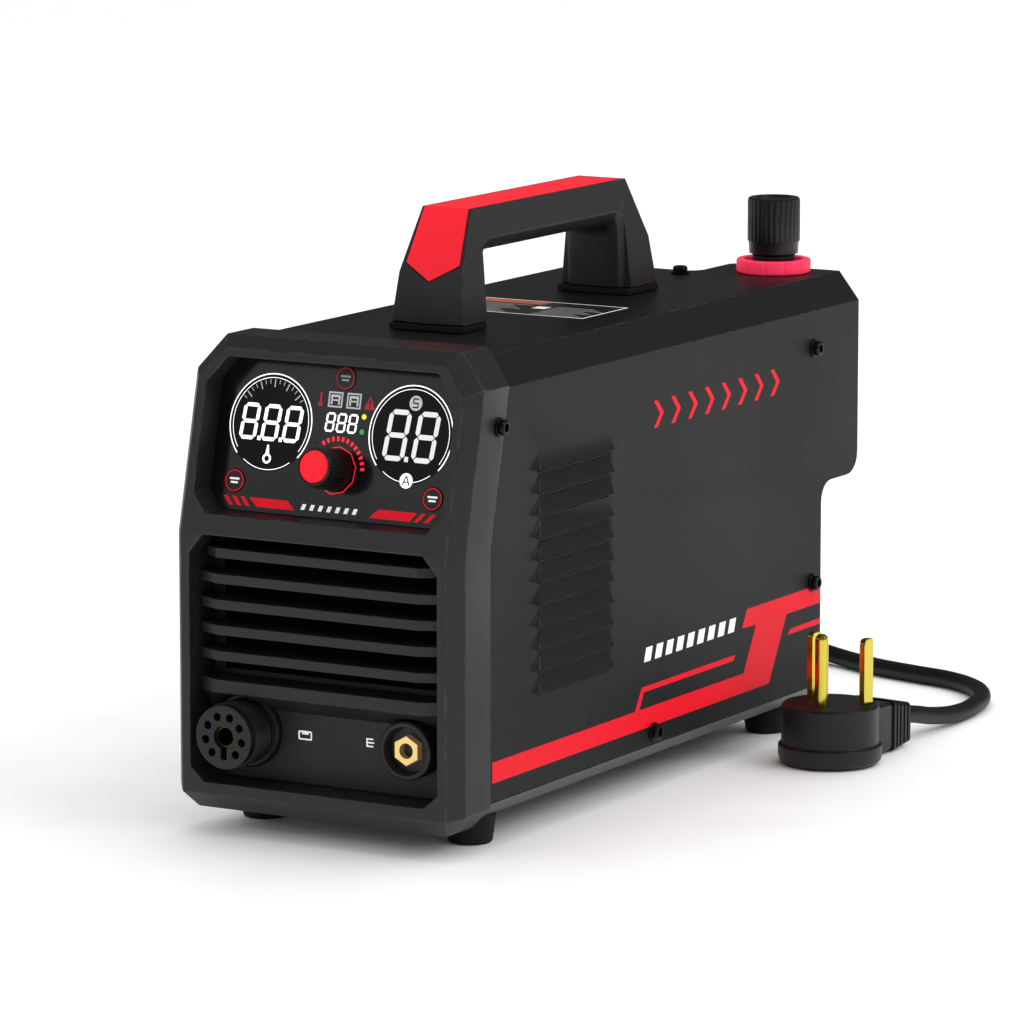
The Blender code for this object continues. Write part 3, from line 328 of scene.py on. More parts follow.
LOOKS = {
    name: finish(name, dark, light, rough, **more)
    for name, (dark, light, rough, more) in {**FINISHES, **PRINTS}.items()
}
# Copies of these finishes for rounded edges, with lighter patches painted on as a highlight.
HIGHLIT_EDGES = {}
for name, colour in EDGE_HIGHLIGHT_COLOURS.items():
    dark, light, rough, more = FINISHES[name]
    HIGHLIT_EDGES[name] = finish(
        name + "_edge", dark, light, rough, highlight_strength=0.55, highlight_colour=colour, **more
    )


# ---------------------------------------------------------------- mesh helpers


def add_object(name, data):
    """Puts an object with this data in the scene."""
    obj = bpy.data.objects.new(name, data)
    bpy.context.scene.collection.objects.link(obj)
    return obj


def mesh_object(name, shape, look, body):
    """Makes a piece from a bmesh in millimetres, which rides on a body."""
    bmesh.ops.recalc_face_normals(shape, faces=shape.faces)
    bmesh.ops.scale(shape, vec=(MM, MM, MM), verts=shape.verts)
    mesh = bpy.data.meshes.new(name)
    shape.to_mesh(mesh)
    shape.free()
    obj = add_object(name, mesh)
    mesh.materials.append(LOOKS[look])
    mesh.shade_smooth()
    mesh.set_sharp_from_angle(angle=math.radians(32))
    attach(obj, body)
    return obj


def circle(radius, count, at=(0.0, 0.0), turn=0.0):
    """Points evenly round a circle, the first of them turned by this many radians."""
    steps = [turn + 2 * math.pi * i / count for i in range(count)]
    return [(at[0] + radius * math.cos(a), at[1] + radius * math.sin(a)) for a in steps]


def arc(radius, start, end, at=(0.0, 0.0)):
    """Points along an arc, from one angle to another in degrees."""
    count = max(2, round(abs(end - start) / 5))
    angles = [math.radians(start + (end - start) * i / count) for i in range(count + 1)]
    return [(at[0] + radius * math.cos(a), at[1] + radius * math.sin(a)) for a in angles]


def stroke(radius, width, start, end, at):
    """The outline of a curved line of this width."""
    return arc(radius, start, end, at) + arc(radius - width, end, start, at)


def add_prism(shape, outline, place, low, high):
    """Adds an outline extruded from one height to another over a surface."""
    rings = [[shape.verts.new(place(u, v, h)) for u, v in outline] for h in (low, high)]
    count = len(outline)
    for i in range(count):
        j = (i + 1) % count
        shape.faces.new((rings[0][i], rings[0][j], rings[1][j], rings[1][i]))
    shape.faces.new(rings[0])
    shape.faces.new(rings[1])


def add_ring(shape, outer, inner, place, low, high):
    """Adds a closed band between two outlines with the same number of points."""
    loops = [
        [shape.verts.new(place(u, v, h)) for u, v in outline]
        for outline, h in ((outer, low), (outer, high), (inner, high), (inner, low))
    ]
    count = len(outer)
    for a, b in zip(loops, loops[1:] + loops[:1]):
        for i in range(count):
            j = (i + 1) % count
            shape.faces.new((a[i], a[j], b[j], b[i]))


def add_lathe(shape, profile, count, matrix=Matrix(), warp=None):
    """Adds a turned solid from a (radius, height) profile, closed on the axis or on itself.

    A warp gives the radius at each step round, for ribs, flats and notches.
    """
    loops = []
    for radius, height in profile:
        points = circle(1.0, count) if radius else [(0.0, 0.0)]
        reach = [warp(radius, height, i) if warp else radius for i in range(len(points))]
        places = [Vector((r * x, r * y, height)) for r, (x, y) in zip(reach, points)]
        loops.append([shape.verts.new(matrix @ place) for place in places])
    pairs = list(zip(loops, loops[1:]))
    if profile[0][0] or profile[-1][0]:
        pairs.append((loops[-1], loops[0]))
    for a, b in pairs:
        for i in range(count):
            j = (i + 1) % count
            if len(a) == 1 and len(b) == 1:
                continue
            if len(a) == 1:
                shape.faces.new((a[0], b[j], b[i]))
            elif len(b) == 1:
                shape.faces.new((a[i], a[j], b[0]))
            else:
                shape.faces.new((a[i], a[j], b[j], b[i]))


def add_tube(shape, path, radius):
    """Adds an eight-sided wire that follows a loop of points in a plane across Y."""
    count = 8
    loops = []
    total = len(path)
    for i, point in enumerate(path):
        along = (Vector(path[(i + 1) % total]) - Vector(path[i - 1])).normalized()
        side = along.cross(Vector((0.0, 1.0, 0.0))).normalized()
        up = side.cross(along)
        loops.append(
            [shape.verts.new(Vector(point) + side * u + up * v) for u, v in circle(radius, count)]
        )
    for a, b in zip(loops, loops[1:] + loops[:1]):
        for i in range(count):
            j = (i + 1) % count
            shape.faces.new((a[i], a[j], b[j], b[i]))


def axis_matrix(axis, at, sign=1):
    """Turns a shape made along +Z to run along an axis from a point, or against it along X."""
    turn = {
        "X": Matrix.Rotation(sign * math.pi / 2, 4, "Y"),
        "Y": Matrix.Rotation(-math.pi / 2, 4, "X"),
        "Z": Matrix(),
    }[axis]
    return Matrix.Translation(at) @ turn


def turned(name, profile, count, matrix, look, node=None, warp=None):
    """A turned piece. It rides on the housing, or where the CAD node it stands for does."""
    shape = bmesh.new()
    add_lathe(shape, profile, count, matrix, warp)
    body = frame["nodes"][node]["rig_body"] if node else "housing"
    obj = mesh_object(name, shape, look, body)
    if node:
        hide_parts(node)


def markings(name, outlines, place, look, high=INK, low=UNDER, body="housing"):
    """Printed or lit shapes just proud of a surface. A pair of outlines makes a closed band."""
    shape = bmesh.new()
    for item in outlines:
        if isinstance(item, dict):
            add_ring(shape, item["outer"], item["inner"], place, low, high)
        else:
            add_prism(shape, item, place, low, high)
    mesh_object(name, shape, look, body)


def displayed(name, outlines, look, high=LIT):
    """Shapes that show on the glossy fascia."""
    markings(name, outlines, on_fascia, look, high)


def band(radius, width, at, count):
    """The pair of outlines of a round line."""
    return {"outer": circle(radius, count, at), "inner": circle(radius - width, count, at)}


def on_fascia(x, z, height):
    """A point over the leaning fascia, at (x, z) and this far off it."""
    y = FASCIA_FRONT + FASCIA_LEAN * (z - FASCIA_FOOT)
    return (x, y - height * math.cos(FASCIA_ANGLE), z + height * math.sin(FASCIA_ANGLE))


def on_side(sign):
    """Gives points over the cover's right side, or its left with a sign of -1."""
    return lambda y, z, height: (sign * (SIDE + height), y, z)


def on_top(x, y, height):
    """A point over the cover's top."""
    return (x, y, TOP + height)


def on_panel(x, z, height):
    """A point in front of the socket panel."""
    return (x, PANEL_FRONT - height, z)


def refine(node, look, width):
    """Stands for a CAD node with the same shape, rounds its edges and paints a highlight on them.

    An edge's rounding is as wide as asked for, or narrower where its faces are narrow.
    """
    source = frame["nodes"][node]
    shape = bmesh.new()
    shape.from_mesh(source.data)
    bmesh.ops.remove_doubles(shape, verts=shape.verts, dist=5e-6)
    bmesh.ops.dissolve_limit(
        shape, angle_limit=math.radians(0.3), verts=shape.verts, edges=shape.edges
    )
    bmesh.ops.recalc_face_normals(shape, faces=shape.faces)
    weights = shape.edges.layers.float.new("bevel_weight_edge")
    for edge in shape.edges:
        if len(edge.link_faces) == 2 and edge.calc_face_angle() > math.radians(28):
            room = min(2 * face.calc_area() / face.calc_perimeter() for face in edge.link_faces)
            edge[weights] = min(1.0, 0.3 * room / (width * MM))
    bmesh.ops.triangulate(shape, faces=[face for face in shape.faces if len(face.verts) > 4])
    mesh = bpy.data.meshes.new(node + "_skin")
    shape.to_mesh(mesh)
    shape.free()
    obj = add_object(node + "_skin", mesh)
    mesh.materials.append(LOOKS[look])
    mesh.materials.append(HIGHLIT_EDGES.get(look, LOOKS[look]))
    mesh.shade_smooth()
    bevel = obj.modifiers.new("edges", "BEVEL")
    bevel.width = width * MM
    bevel.segments = 2
    bevel.limit_method = "WEIGHT"
    bevel.use_clamp_overlap = False
    # The rounded edges take the second material, with its painted highlight.
    bevel.material = 1
    even = obj.modifiers.new("even", "WEIGHTED_NORMAL")
    even.weight = 100
    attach(obj, source["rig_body"])
    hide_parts(node)


# ---------------------------------------------------------------- camera, cord, stage


def camera():
    """The camera, which looks at the target with its right side level."""
    back = Vector(
        (
            math.sin(AZIMUTH) * math.cos(ELEVATION),
            -math.cos(AZIMUTH) * math.cos(ELEVATION),
            math.sin(ELEVATION),
        )
    )
    right = Vector((math.cos(AZIMUTH), math.sin(AZIMUTH), 0.0))
    up = back.cross(right)
    lens = bpy.data.cameras.new("camera")
    lens.lens = LENS
    lens.sensor_width = SENSOR
    lens.clip_end = 60.0
    obj = add_object("camera", lens)
    obj.location = TARGET + right * NUDGE_RIGHT + up * NUDGE_UP + back * DISTANCE
    obj.rotation_mode = "QUATERNION"
    obj.rotation_quaternion = Matrix((right, up, back)).transposed().to_quaternion()
    bpy.context.scene.camera = obj


def eased(progress, keys):
    """A value that moves smoothly from one level to the next in each of its steps."""
    value, steps = keys
    for start, end, after in steps:
        share = min(1.0, max(0.0, (progress - start) / (end - start)))
        value += (after - value) * share * share * (3 - 2 * share)
    return value


def cord_route():
    """The mains lead's centreline: off the gland, round the stored coil, and on to the plug."""
    route = list(LEAD_ROUTE)
    progress = 0.0
    while progress <= COIL_END:
        angle = math.radians(COIL_START - progress)
        radius = eased(progress, COIL_RADII)
        x = COIL_AT[0] + radius * math.cos(angle)
        y = COIL_AT[1] + radius * math.sin(angle)
        route.append((x, y, eased(progress, COIL_HEIGHTS)))
        progress += COIL_STEP
    return route + list(RUN_ROUTE)


def mains_lead():
    """The lead as one curve, and its length in metres."""
    curve = bpy.data.curves.new("mains_lead", "CURVE")
    curve.dimensions = "3D"
    curve.bevel_depth = CORD_RADIUS * MM
    curve.bevel_resolution = 5
    curve.resolution_u = 5
    curve.use_fill_caps = True
    spline = curve.splines.new("BEZIER")
    route = cord_route()
    spline.bezier_points.add(len(route) - 1)
    for point, place in zip(spline.bezier_points, route):
        point.co = Vector(place) * MM
        point.handle_left_type = "AUTO"
        point.handle_right_type = "AUTO"
    lead = add_object("mains_lead", curve)
    curve.materials.append(LOOKS["cord_jacket"])
    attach(lead, "housing")
    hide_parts("power_cord_lead", "power_cord_run", "power_cord_coil")
    return lead, spline.calc_length()


def stage():
    """A plain pale floor, and soft light from above, the front and the right."""
    half = FLOOR_HALF
    mesh = bpy.data.meshes.new("floor")
    corners = [(-half, -half, 0), (half, -half, 0), (half, half, 0), (-half, half, 0)]
    mesh.from_pydata(corners, [], [(0, 1, 2, 3)])
    floor = add_object("floor", mesh)
    mesh.materials.append(
        finish("floor", "f2f2f2", "f5f5f5", 0.5, grain=300, bump=0.02, specular=0.3)
    )
    world = bpy.data.worlds.new("studio")
    world.use_nodes = True
    bpy.context.scene.world = world
    nodes = world.node_tree.nodes
    sky = nodes["Background"]
    sky.inputs["Color"].default_value = (1.0, 1.0, 1.0, 1.0)
    rays = nodes.new("ShaderNodeLightPath")
    level = nodes.new("ShaderNodeMapRange")
    level.inputs["To Min"].default_value = SKY_LEVEL
    level.inputs["To Max"].default_value = SKY_IN_GLOSS
    world.node_tree.links.new(rays.outputs["Is Glossy Ray"], level.inputs["Value"])
    world.node_tree.links.new(level.outputs["Result"], sky.inputs["Strength"])
    for name, place, wide, power in LIGHTS:
        lamp = bpy.data.lights.new(name, "AREA")
        lamp.shape = "SQUARE"
        lamp.size = wide
        lamp.energy = power
        obj = add_object(name, lamp)
        obj.location = place
        obj.rotation_mode = "QUATERNION"
        obj.rotation_quaternion = (AIM - Vector(place)).to_track_quat("-Z", "Y")
        obj.visible_glossy = name != "overhead"
    bpy.context.scene.view_settings.view_transform = "Standard"


# ---------------------------------------------------------------- frame nodes

# Nodes that a skin stands for: its finish, and how wide its edges are rounded.
SKINS = {
    "front_bezel": ("bezel_plastic", 0.7),
    "front_grille": ("grille_plastic", 0.35),
    "housing_cover": ("cover_paint", 0.35),
    "base_pan": ("pan_paint", 0.3),
    "rear_panel": ("cover_paint", 0.25),
    "handle": ("handle_plastic", 1.0),
    "handle_pad_front": ("rubber", 0.5),
    "handle_pad_rear": ("rubber", 0.5),
    "torch_socket": ("socket_plastic", 0.25),
    "regulator_body": ("regulator_metal", 0.8),
    "switch_frame": ("button_plastic", 0.6),
    "switch_rocker": ("red_plastic", 0.4),
    "filter_bowl": ("bowl_clear", 0.4),
    "air_inlet": ("brass_contact", 0.2),
    "plug_body": ("plug_plastic", 0.8),
    "plug_blade_left": ("brass_contact", 0.5),
    "plug_blade_right": ("brass_contact", 0.5),
    "plug_earth_pin": ("brass_contact", 0.3),
}
# Nodes that are shown as they are, and their finish.
CARRIED = {
    "handle_inlay": "red_plastic",
    "display_fascia": "fascia_gloss",
    "display_board": "circuit_board",
    "unit_button": "button_plastic",
    "post_flow_button": "button_plastic",
    "mode_button": "button_plastic",
    "drain_button": "knob_plastic",
    "fan_frame": "fan_plastic",
    "fan_rotor": "fan_plastic",
    "heat_sink": "sink_aluminium",
    "power_board": "circuit_board",
    "bus_capacitor": "capacitor_sleeve",
    "transformer_core": "ferrite",
    "transformer_winding": "copper_winding",
    "air_valve": "brass_contact",
    "air_hose": "blue_hose",
    "air_feed_hose": "blue_hose",
}


def frame_nodes():
    """Gives the CAD nodes their finishes, or skins that stand for them."""
    for node, look in CARRIED.items():
        obj = frame["nodes"][node]
        obj.data.materials.clear()
        obj.data.materials.append(LOOKS[look])
    for node, (look, width) in SKINS.items():
        refine(node, look, width)


# ---------------------------------------------------------------- fine pieces


def middle(node):
    """The centre of a CAD node's box."""
    low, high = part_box(node)
    return (low + high) / 2 / MM


def hexagon(count, least, most):
    """A warp that gives six flats to circles between two radii, turned in this many steps."""

    def warp(radius, height, i):
        if not least <= radius <= most:
            return radius
        off = math.radians(i * (360.0 / count) % 60.0 - 30.0)
        return radius * math.cos(math.radians(30.0)) / math.cos(off)

    return warp


def ribbed(low, high, least, every, grooves):
    """A warp that cuts grooves between two heights, in circles of at least this radius.

    The grooves map steps, counted afresh after every so many, to depths.
    """

    def warp(radius, height, i):
        if radius < least or not low <= height <= high:
            return radius
        return radius - grooves.get(i % every, 0.0)

    return warp


def screws():
    """Socket-head screws with a washer, their heads out of the cover's sides and top."""
    head_height = 4.2
    profile = [
        (0.0, -6.0), (1.9, -6.0), (1.9, 0.1), (4.5, 0.1), (4.6, 0.3), (4.6, 0.8), (4.4, 1.0),
        (3.6, 1.1), (3.7, 1.5), (3.7, 2.8), (3.5, 3.3), (3.0, 3.7), (2.6, 3.8), (2.25, 3.75),
        (2.2, 3.5), (2.2, 2.2), (0.0, 2.0),
    ]
    for node in frame["nodes"]:
        if not node.startswith("screw_"):
            continue
        low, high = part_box(node)
        place = middle(node)
        if node == "screw_top":
            matrix = axis_matrix("Z", (place.x, place.y, TOP + 0.2))
        else:
            sign = 1 if place.x > 0 else -1
            seat = (high.x if sign > 0 else low.x) / MM - sign * head_height
            matrix = axis_matrix("X", (seat, place.y, place.z), sign)
        warp = hexagon(36, 2.0, 2.4)
        turned(node + "_fine", profile, 36, matrix, "black_steel", node, warp=warp)


def feet():
    """Moulded rubber feet with a ring to stand on."""
    profile = [
        (0.0, 0.6), (5.0, 0.6), (5.4, 0.0), (8.9, 0.0), (9.7, 0.25), (10.2, 0.8), (10.4, 1.5),
        (10.7, 4.6), (11.0, 4.9), (11.1, 5.4), (10.9, 5.8), (12.1, 13.6), (12.0, 14.2), (0.0, 14.2),
    ]
    for node in frame["nodes"]:
        if node.startswith("foot_"):
            place = middle(node)
            matrix = axis_matrix("Z", (place.x, place.y, 0.0))
            turned(node + "_fine", profile, 48, matrix, "rubber", node)


def regulator_controls():
    """The regulator's ribbed knob, its notched nut and the stem between them."""
    x, y = middle("regulator_knob").xy
    matrix = axis_matrix("Z", (x, y, 0.0))
    dial = [
        (0.0, 256.8), (4.3, 256.8), (4.3, 236.4), (11.9, 236.2), (12.3, 236.6), (12.55, 241.8),
        (12.9, 242.4), (13.2, 243.0), (13.2, 253.0), (13.2, 262.8), (12.95, 263.8), (12.2, 264.5),
        (9.6, 264.6), (8.9, 264.2), (8.6, 263.6), (0.0, 263.2),
    ]
    ribs = ribbed(242.9, 263.0, 13.0, 6, {0: 0.4, 1: 0.25, 5: 0.25})
    turned("regulator_dial", dial, 168, matrix, "knob_plastic", "regulator_knob", warp=ribs)
    ring = [
        (14.7, 227.0), (18.2, 226.95), (18.6, 227.3), (18.7, 227.8), (18.7, 232.6), (18.4, 233.3),
        (17.8, 233.6), (15.3, 233.6), (14.8, 233.2),
    ]
    notches = ribbed(227.2, 233.4, 18.3, 14, {6: 0.45, 7: 0.45})
    turned("regulator_nut", ring, 168, matrix, "ring_plastic", "regulator_ring",
           notches)
    neck = [
        (0.0, 212.0), (5.0, 212.0), (5.0, 229.0), (10.4, 229.1), (10.8, 229.5), (10.8, 232.0),
        (10.3, 232.2), (10.3, 233.0), (10.8, 233.2), (10.8, 235.1), (10.4, 235.5), (4.0, 235.5),
        (4.0, 252.0), (0.0, 252.0),
    ]
    turned("regulator_neck", neck, 64, matrix, "knob_plastic", "regulator_stem")


def encoder():
    """The ribbed knob square on the fascia, and the red disc on its face."""
    turn = Matrix.Rotation(math.pi / 2 - FASCIA_ANGLE, 4, "X")
    matrix = Matrix.Translation(on_fascia(*KNOB_AT, 0.0)) @ turn
    knob = [
        (0.0, -8.4), (3.0, -8.4), (3.0, 0.7), (9.3, 0.7), (9.7, 1.1), (9.8, 1.8), (9.8, 8.0),
        (9.7, 15.4), (9.2, 17.6), (8.8, 19.0), (8.4, 19.5), (7.9, 19.5), (7.75, 18.2), (0.0, 18.1),
    ]
    ribs = ribbed(1.0, 18.0, 9.0, 5, {0: 0.55, 1: 0.35, 4: 0.35})
    turned("encoder_grip", knob, 160, matrix, "knob_plastic", "encoder_knob", warp=ribs)
    cap = [
        (0.0, 18.4), (7.4, 18.4), (7.55, 18.9), (7.5, 19.3), (7.1, 19.65), (5.0, 19.8), (0.0, 19.85),
    ]
    turned("encoder_disc", cap, 64, matrix, "red_plastic", "encoder_cap")


def torch_details():
    """The torch socket's thread, and the brass lining of its bore, darkened as painted shade."""
    place = middle("torch_socket")
    matrix = axis_matrix("Y", (place.x, 0.0, place.z))
    start = -199.4
    pitch = 1.45
    thread = [(14.6, -186.2), (14.6, start)]
    for i in range(9):
        height = start + pitch * i
        thread += [(15.15, height + 0.1), (15.5, height + 0.55), (15.5, height + 0.9),
                   (15.15, height + 1.35)]
    turned("torch_thread", thread, 72, matrix, "socket_plastic")
    bore = [(0.0, -186.0), (5.1, -186.0), (5.1, -201.6), (4.2, -201.6), (4.0, -188.0), (0.0, -188.0)]
    turned("torch_bore", bore, 40, matrix, "shaded_brass")


def ground_details():
    """The earth socket as a cup, with a hexagonal brass contact standing in it."""
    place = middle("ground_socket")
    matrix = axis_matrix("Y", (place.x, 0.0, place.z))
    cup = [
        (0.0, -186.2), (10.2, -186.2), (11.0, -190.6), (11.4, -191.2), (12.9, -191.3),
        (13.5, -190.9), (13.75, -190.3), (13.75, -181.1), (11.0, -181.1), (11.0, -161.5),
        (0.0, -161.5),
    ]
    turned("ground_cup", cup, 72, matrix, "socket_plastic", "ground_socket")
    nut = [
        (3.6, -190.0), (6.9, -190.0), (7.2, -189.6), (7.2, -184.0), (3.6, -184.0), (3.5, -187.4),
    ]
    matrix = matrix @ Matrix.Rotation(math.pi / 6, 4, "Z")
    turned("ground_contact", nut, 72, matrix, "pale_brass", "ground_socket_contact",
           hexagon(72, 6.0, 7.2))


def fan_grille():
    """A guard of round wire hoops on two crossed wires, and the screws that hold it."""
    place = middle("fan_guard")
    level = 163.1
    wire = 0.8
    reach = 45.5
    shape = bmesh.new()
    for radius in (8.0, 14.2, 20.4, 26.6, 32.8, 38.6):
        path = [(place.x + u, level, place.z + v) for u, v in circle(radius, 56)]
        add_tube(shape, path, wire)
    for turn in (math.pi / 4, 3 * math.pi / 4):
        at = Matrix.Translation((place.x, level - 0.9, place.z))
        rod = [(0.0, -reach), (wire, -reach), (wire, reach), (0.0, reach)]
        add_lathe(shape, rod, 10, at @ Matrix.Rotation(turn, 4, "Y"))
    obj = mesh_object("fan_grille", shape, "guard_steel", "housing")
    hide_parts("fan_guard")
    head = [(0.0, 0.2), (3.4, 0.2), (3.4, 1.0), (2.6, 1.8), (1.3, 1.9), (1.2, 1.3), (0.0, 1.2)]
    for i, (u, v) in enumerate(circle(reach, 4, turn=math.pi / 4)):
        matrix = axis_matrix("Y", (place.x + u, 162.2, place.z + v))
        turned(f"fan_screw_{i}", head, 32, matrix, "black_steel")


def gland():
    """The lead's nut and its ribbed, tapering strain relief."""
    place = middle("cord_gland")
    matrix = axis_matrix("Y", (place.x, 0.0, place.z))
    profile = [
        (0.0, 150.0), (8.0, 150.0), (8.0, 162.3), (12.7, 162.3), (13.0, 162.7), (13.0, 165.8),
        (12.4, 166.6), (10.6, 167.0), (10.6, 168.5), (11.0, 168.8), (11.0, 173.5), (10.4, 174.6),
        (8.8, 175.6),
    ]
    for i in range(8):
        start = 176.4 + 2.9 * i
        reach = 8.7 - 0.37 * i
        profile += [(reach - 0.9, start), (reach, start + 0.4), (reach - 0.1, start + 1.9),
                    (reach - 0.9, start + 2.2)]
    profile += [(5.3, 200.0), (0.0, 200.0)]
    turned("cord_relief", profile, 48, matrix, "rubber", "cord_gland")


def plug_ribs():
    """Moulded ribs round the plug's tail, which shrinks towards the lead."""
    turn = Matrix.Translation(PLUG_AT) @ Matrix.Rotation(PLUG_TURN, 4, "Z")
    shape = bmesh.new()
    for i in range(5):
        start = 38.0 + 4.1 * i
        share = (start - 34.0) / 24.0
        corner = 2.4
        outlines = []
        for grow in (0.9, -0.6):
            half = 12.5 - 3.5 * share + grow
            low = 1.2 + 2.0 * share - grow
            high = 26.0 - 5.5 * share + grow
            corners = ((half, low, -90), (half, high, 0), (-half, high, 90), (-half, low, 180))
            outline = []
            for x, z, start_angle in corners:
                at = (x - math.copysign(corner, x), z - (corner if z == high else -corner))
                outline += arc(corner, start_angle, start_angle + 90, at)
            outlines.append(outline)

        def place(x, z, along):
            return turn @ Vector((x, along, z))

        add_ring(shape, *outlines, place, start, start + 1.9)
    return mesh_object("plug_ribs", shape, "plug_plastic", "housing")


def coil_tie(name, angle):
    """A flat tie round all the strands of the stored coil, at this many degrees round it."""
    out = Vector((math.cos(math.radians(angle)), math.sin(math.radians(angle)), 0.0))
    along = Vector((-out.y, out.x, 0.0))
    centre = Vector((*COIL_AT, 0.0))
    shape = bmesh.new()
    outer = [(39.7, 0.0), (60.3, 0.0), (60.3, 16.0), (58.4, 19.4), (41.6, 19.4), (39.7, 16.0)]
    inner = [(40.6, 0.08), (59.4, 0.08), (59.4, 15.6), (57.9, 18.6), (42.1, 18.6), (40.6, 15.6)]

    def place(reach, height, across):
        return centre + out * reach + along * across + Vector((0.0, 0.0, height))

    add_ring(shape, outer, inner, place, -3.0, 3.0)
    return mesh_object(name, shape, "rubber", "housing")


# ---------------------------------------------------------------- front markings


def digit(x, z, wide, tall, bar):
    """The seven lit bars of one figure, with its lower left corner at (x, z)."""
    gap = bar * 0.14
    half = bar / 2
    middle = tall / 2

    def flat(height):
        return [
            (half + gap, height),
            (bar + gap, height + half),
            (wide - bar - gap, height + half),
            (wide - half - gap, height),
            (wide - bar - gap, height - half),
            (bar + gap, height - half),
        ]

    def upright(across, low, high):
        return [
            (across, low + gap),
            (across + half, low + half + gap),
            (across + half, high - half - gap),
            (across, high - gap),
            (across - half, high - half - gap),
            (across - half, low + half + gap),
        ]

    top = tall - half
    bars = [flat(half), flat(middle), flat(top)]
    for across in (half, wide - half):
        bars += [upright(across, half, middle), upright(across, middle, top)]
    return [[(x + u + DIGIT_LEAN * v, z + v) for u, v in outline] for outline in bars]


def box_outline(left, low, right, high):
    """The corners of an upright rectangle."""
    return [(left, low), (right, low), (right, high), (left, high)]


def slanted(top_left, top_right, low_left, low_right, low, high):
    """A level bar with sloping ends, between two heights."""
    return [(low_left, low), (low_right, low), (top_right, high), (top_left, high)]


def gauge(side, at):
    """One round display: its lens and its double ring, open below."""
    radius = GAUGE_RADIUS
    displayed(f"gauge_lens_{side}", [circle(radius - 0.2, 72, at)], "lens_black", 0.03)
    rings = [
        stroke(radius, 0.55, -42, 222, at),
        stroke(radius - 1.8, 0.3, -36, 216, at),
        stroke(radius - 0.9, 0.3, 234, 306, at),
    ]
    displayed(f"gauge_ring_{side}", rings, "lit_white", 0.09)


def figures():
    """Three figures on the left display, two on the right and three between them."""
    lit = []
    for i in range(3):
        lit += digit(-54.2 + 11.6 * i, 182.7, 9.2, 16.6, 1.75)
        if i < 2:
            lit.append(box_outline(-43.9 + 11.6 * i, 182.7, -42.2 + 11.6 * i, 184.6))
    displayed("figures_left", lit, "lit_white")
    lit = digit(23.4, 178.9, 11.8, 23.0, 2.3) + digit(38.8, 178.9, 11.8, 23.0, 2.3)
    lit.append(box_outline(35.6, 178.9, 37.6, 181.2))
    displayed("figures_right", lit, "lit_pale")
    lit = []
    for i in range(3):
        lit += digit(-8.6 + 6.0 * i, 189.2, 4.9, 8.8, 0.95)
    displayed("figures_middle", lit, "lit_white")


def tick(at, angle, outer, inner, half, inner_half):
    """A short mark that points at a centre, between two radii and so wide at each."""
    along = Vector((math.cos(angle), math.sin(angle)))
    across = Vector((-along.y, along.x))
    ends = [along * outer - across * half, along * outer + across * half]
    ends += [along * inner + across * inner_half, along * inner - across * inner_half]
    return [(at[0] + p.x, at[1] + p.y) for p in ends]


def gauge_ticks():
    """The left display's scale, with every third mark longer."""
    ticks = []
    for i in range(15):
        angle = math.radians(145 - 110 * i / 14)
        long, half = (3.6, 0.26) if i % 3 == 1 else (2.0, 0.16)
        ticks.append(tick(GAUGE_LEFT, angle, 19.6, 19.6 - long, half, half))
    displayed("gauge_ticks", ticks, "lit_grey", 0.08)


def drop_icon():
    """A drop with a round bulb, low on the left display."""
    hole = band(2.3, 1.0, (-37.6, 174.8), 28)
    stem = [(-38.0, 181.0), (-38.6, 176.6), (-36.6, 176.6), (-37.2, 181.0)]
    displayed("drop_icon", [stem, hole], "lit_white")


def unit_discs():
    """The right display's two discs, with an S for seconds and an A for amperes."""
    upper = (38.4, 205.2)
    lower = (37.9, 170.6)
    displayed("disc_upper", [circle(3.4, 32, upper)], "lit_grey", 0.11)
    displayed("disc_lower", [circle(3.4, 32, lower)], "lit_white", 0.11)
    x, z = upper
    letter = [box_outline(x - 1.5, z + low, x + 1.5, z + low + 0.6) for low in (-2.2, -0.3, 1.6)]
    letter += [box_outline(x - 1.5, z, x - 0.9, z + 1.8), box_outline(x + 0.9, z - 1.8, x + 1.5, z)]
    x, z = lower
    for sign in (-1, 1):
        foot = x + sign * 1.9
        letter.append(
            [(foot - 0.35, z - 2.1), (foot + 0.35, z - 2.1), (x + 0.35, z + 2.2), (x - 0.35, z + 2.2)]
        )
    letter.append(box_outline(x - 1.2, z - 0.9, x + 1.2, z - 0.3))
    displayed("disc_letters", letter, "lens_black", 0.14)


def mode_icons():
    """Two framed icons of a cutting mode."""
    squares = []
    low = 200.3
    for left in (-8.1, 1.8):
        squares.append(
            {
                "outer": box_outline(left, low, left + 7.6, low + 7.0),
                "inner": box_outline(left + 0.7, low + 0.7, left + 6.9, low + 6.3),
            }
        )
        squares.append(box_outline(left + 1.3, low + 4.6, left + 6.3, low + 5.7))
        squares.append(box_outline(left + 1.3, low + 2.9, left + 6.3, low + 3.6))
        squares.append(box_outline(left + 1.3, low + 1.3, left + 2.3, low + 4.6))
        squares.append(box_outline(left + 5.3, low + 1.3, left + 6.3, low + 4.6))
    displayed("mode_icons", squares, "lit_grey")


def status_icons():
    """A thermometer, an alarm triangle and two round lamps."""
    red = [circle(1.2, 24, (-12.1, 201.4)), box_outline(-12.6, 202.2, -11.6, 206.6)]
    red.append([(11.2, 200.5), (17.2, 200.5), (14.2, 206.6)])
    displayed("alarm_icons", red, "dim_red")
    hollow = [box_outline(13.9, 202.6, 14.5, 204.8), box_outline(13.9, 201.4, 14.5, 202.0)]
    displayed("alarm_mark", hollow, "lens_black", 0.13)
    displayed("lamp_yellow", [circle(1.2, 24, (11.9, 197.2))], "lit_yellow")
    displayed("lamp_green", [circle(1.2, 24, (11.6, 190.4))], "lit_green")


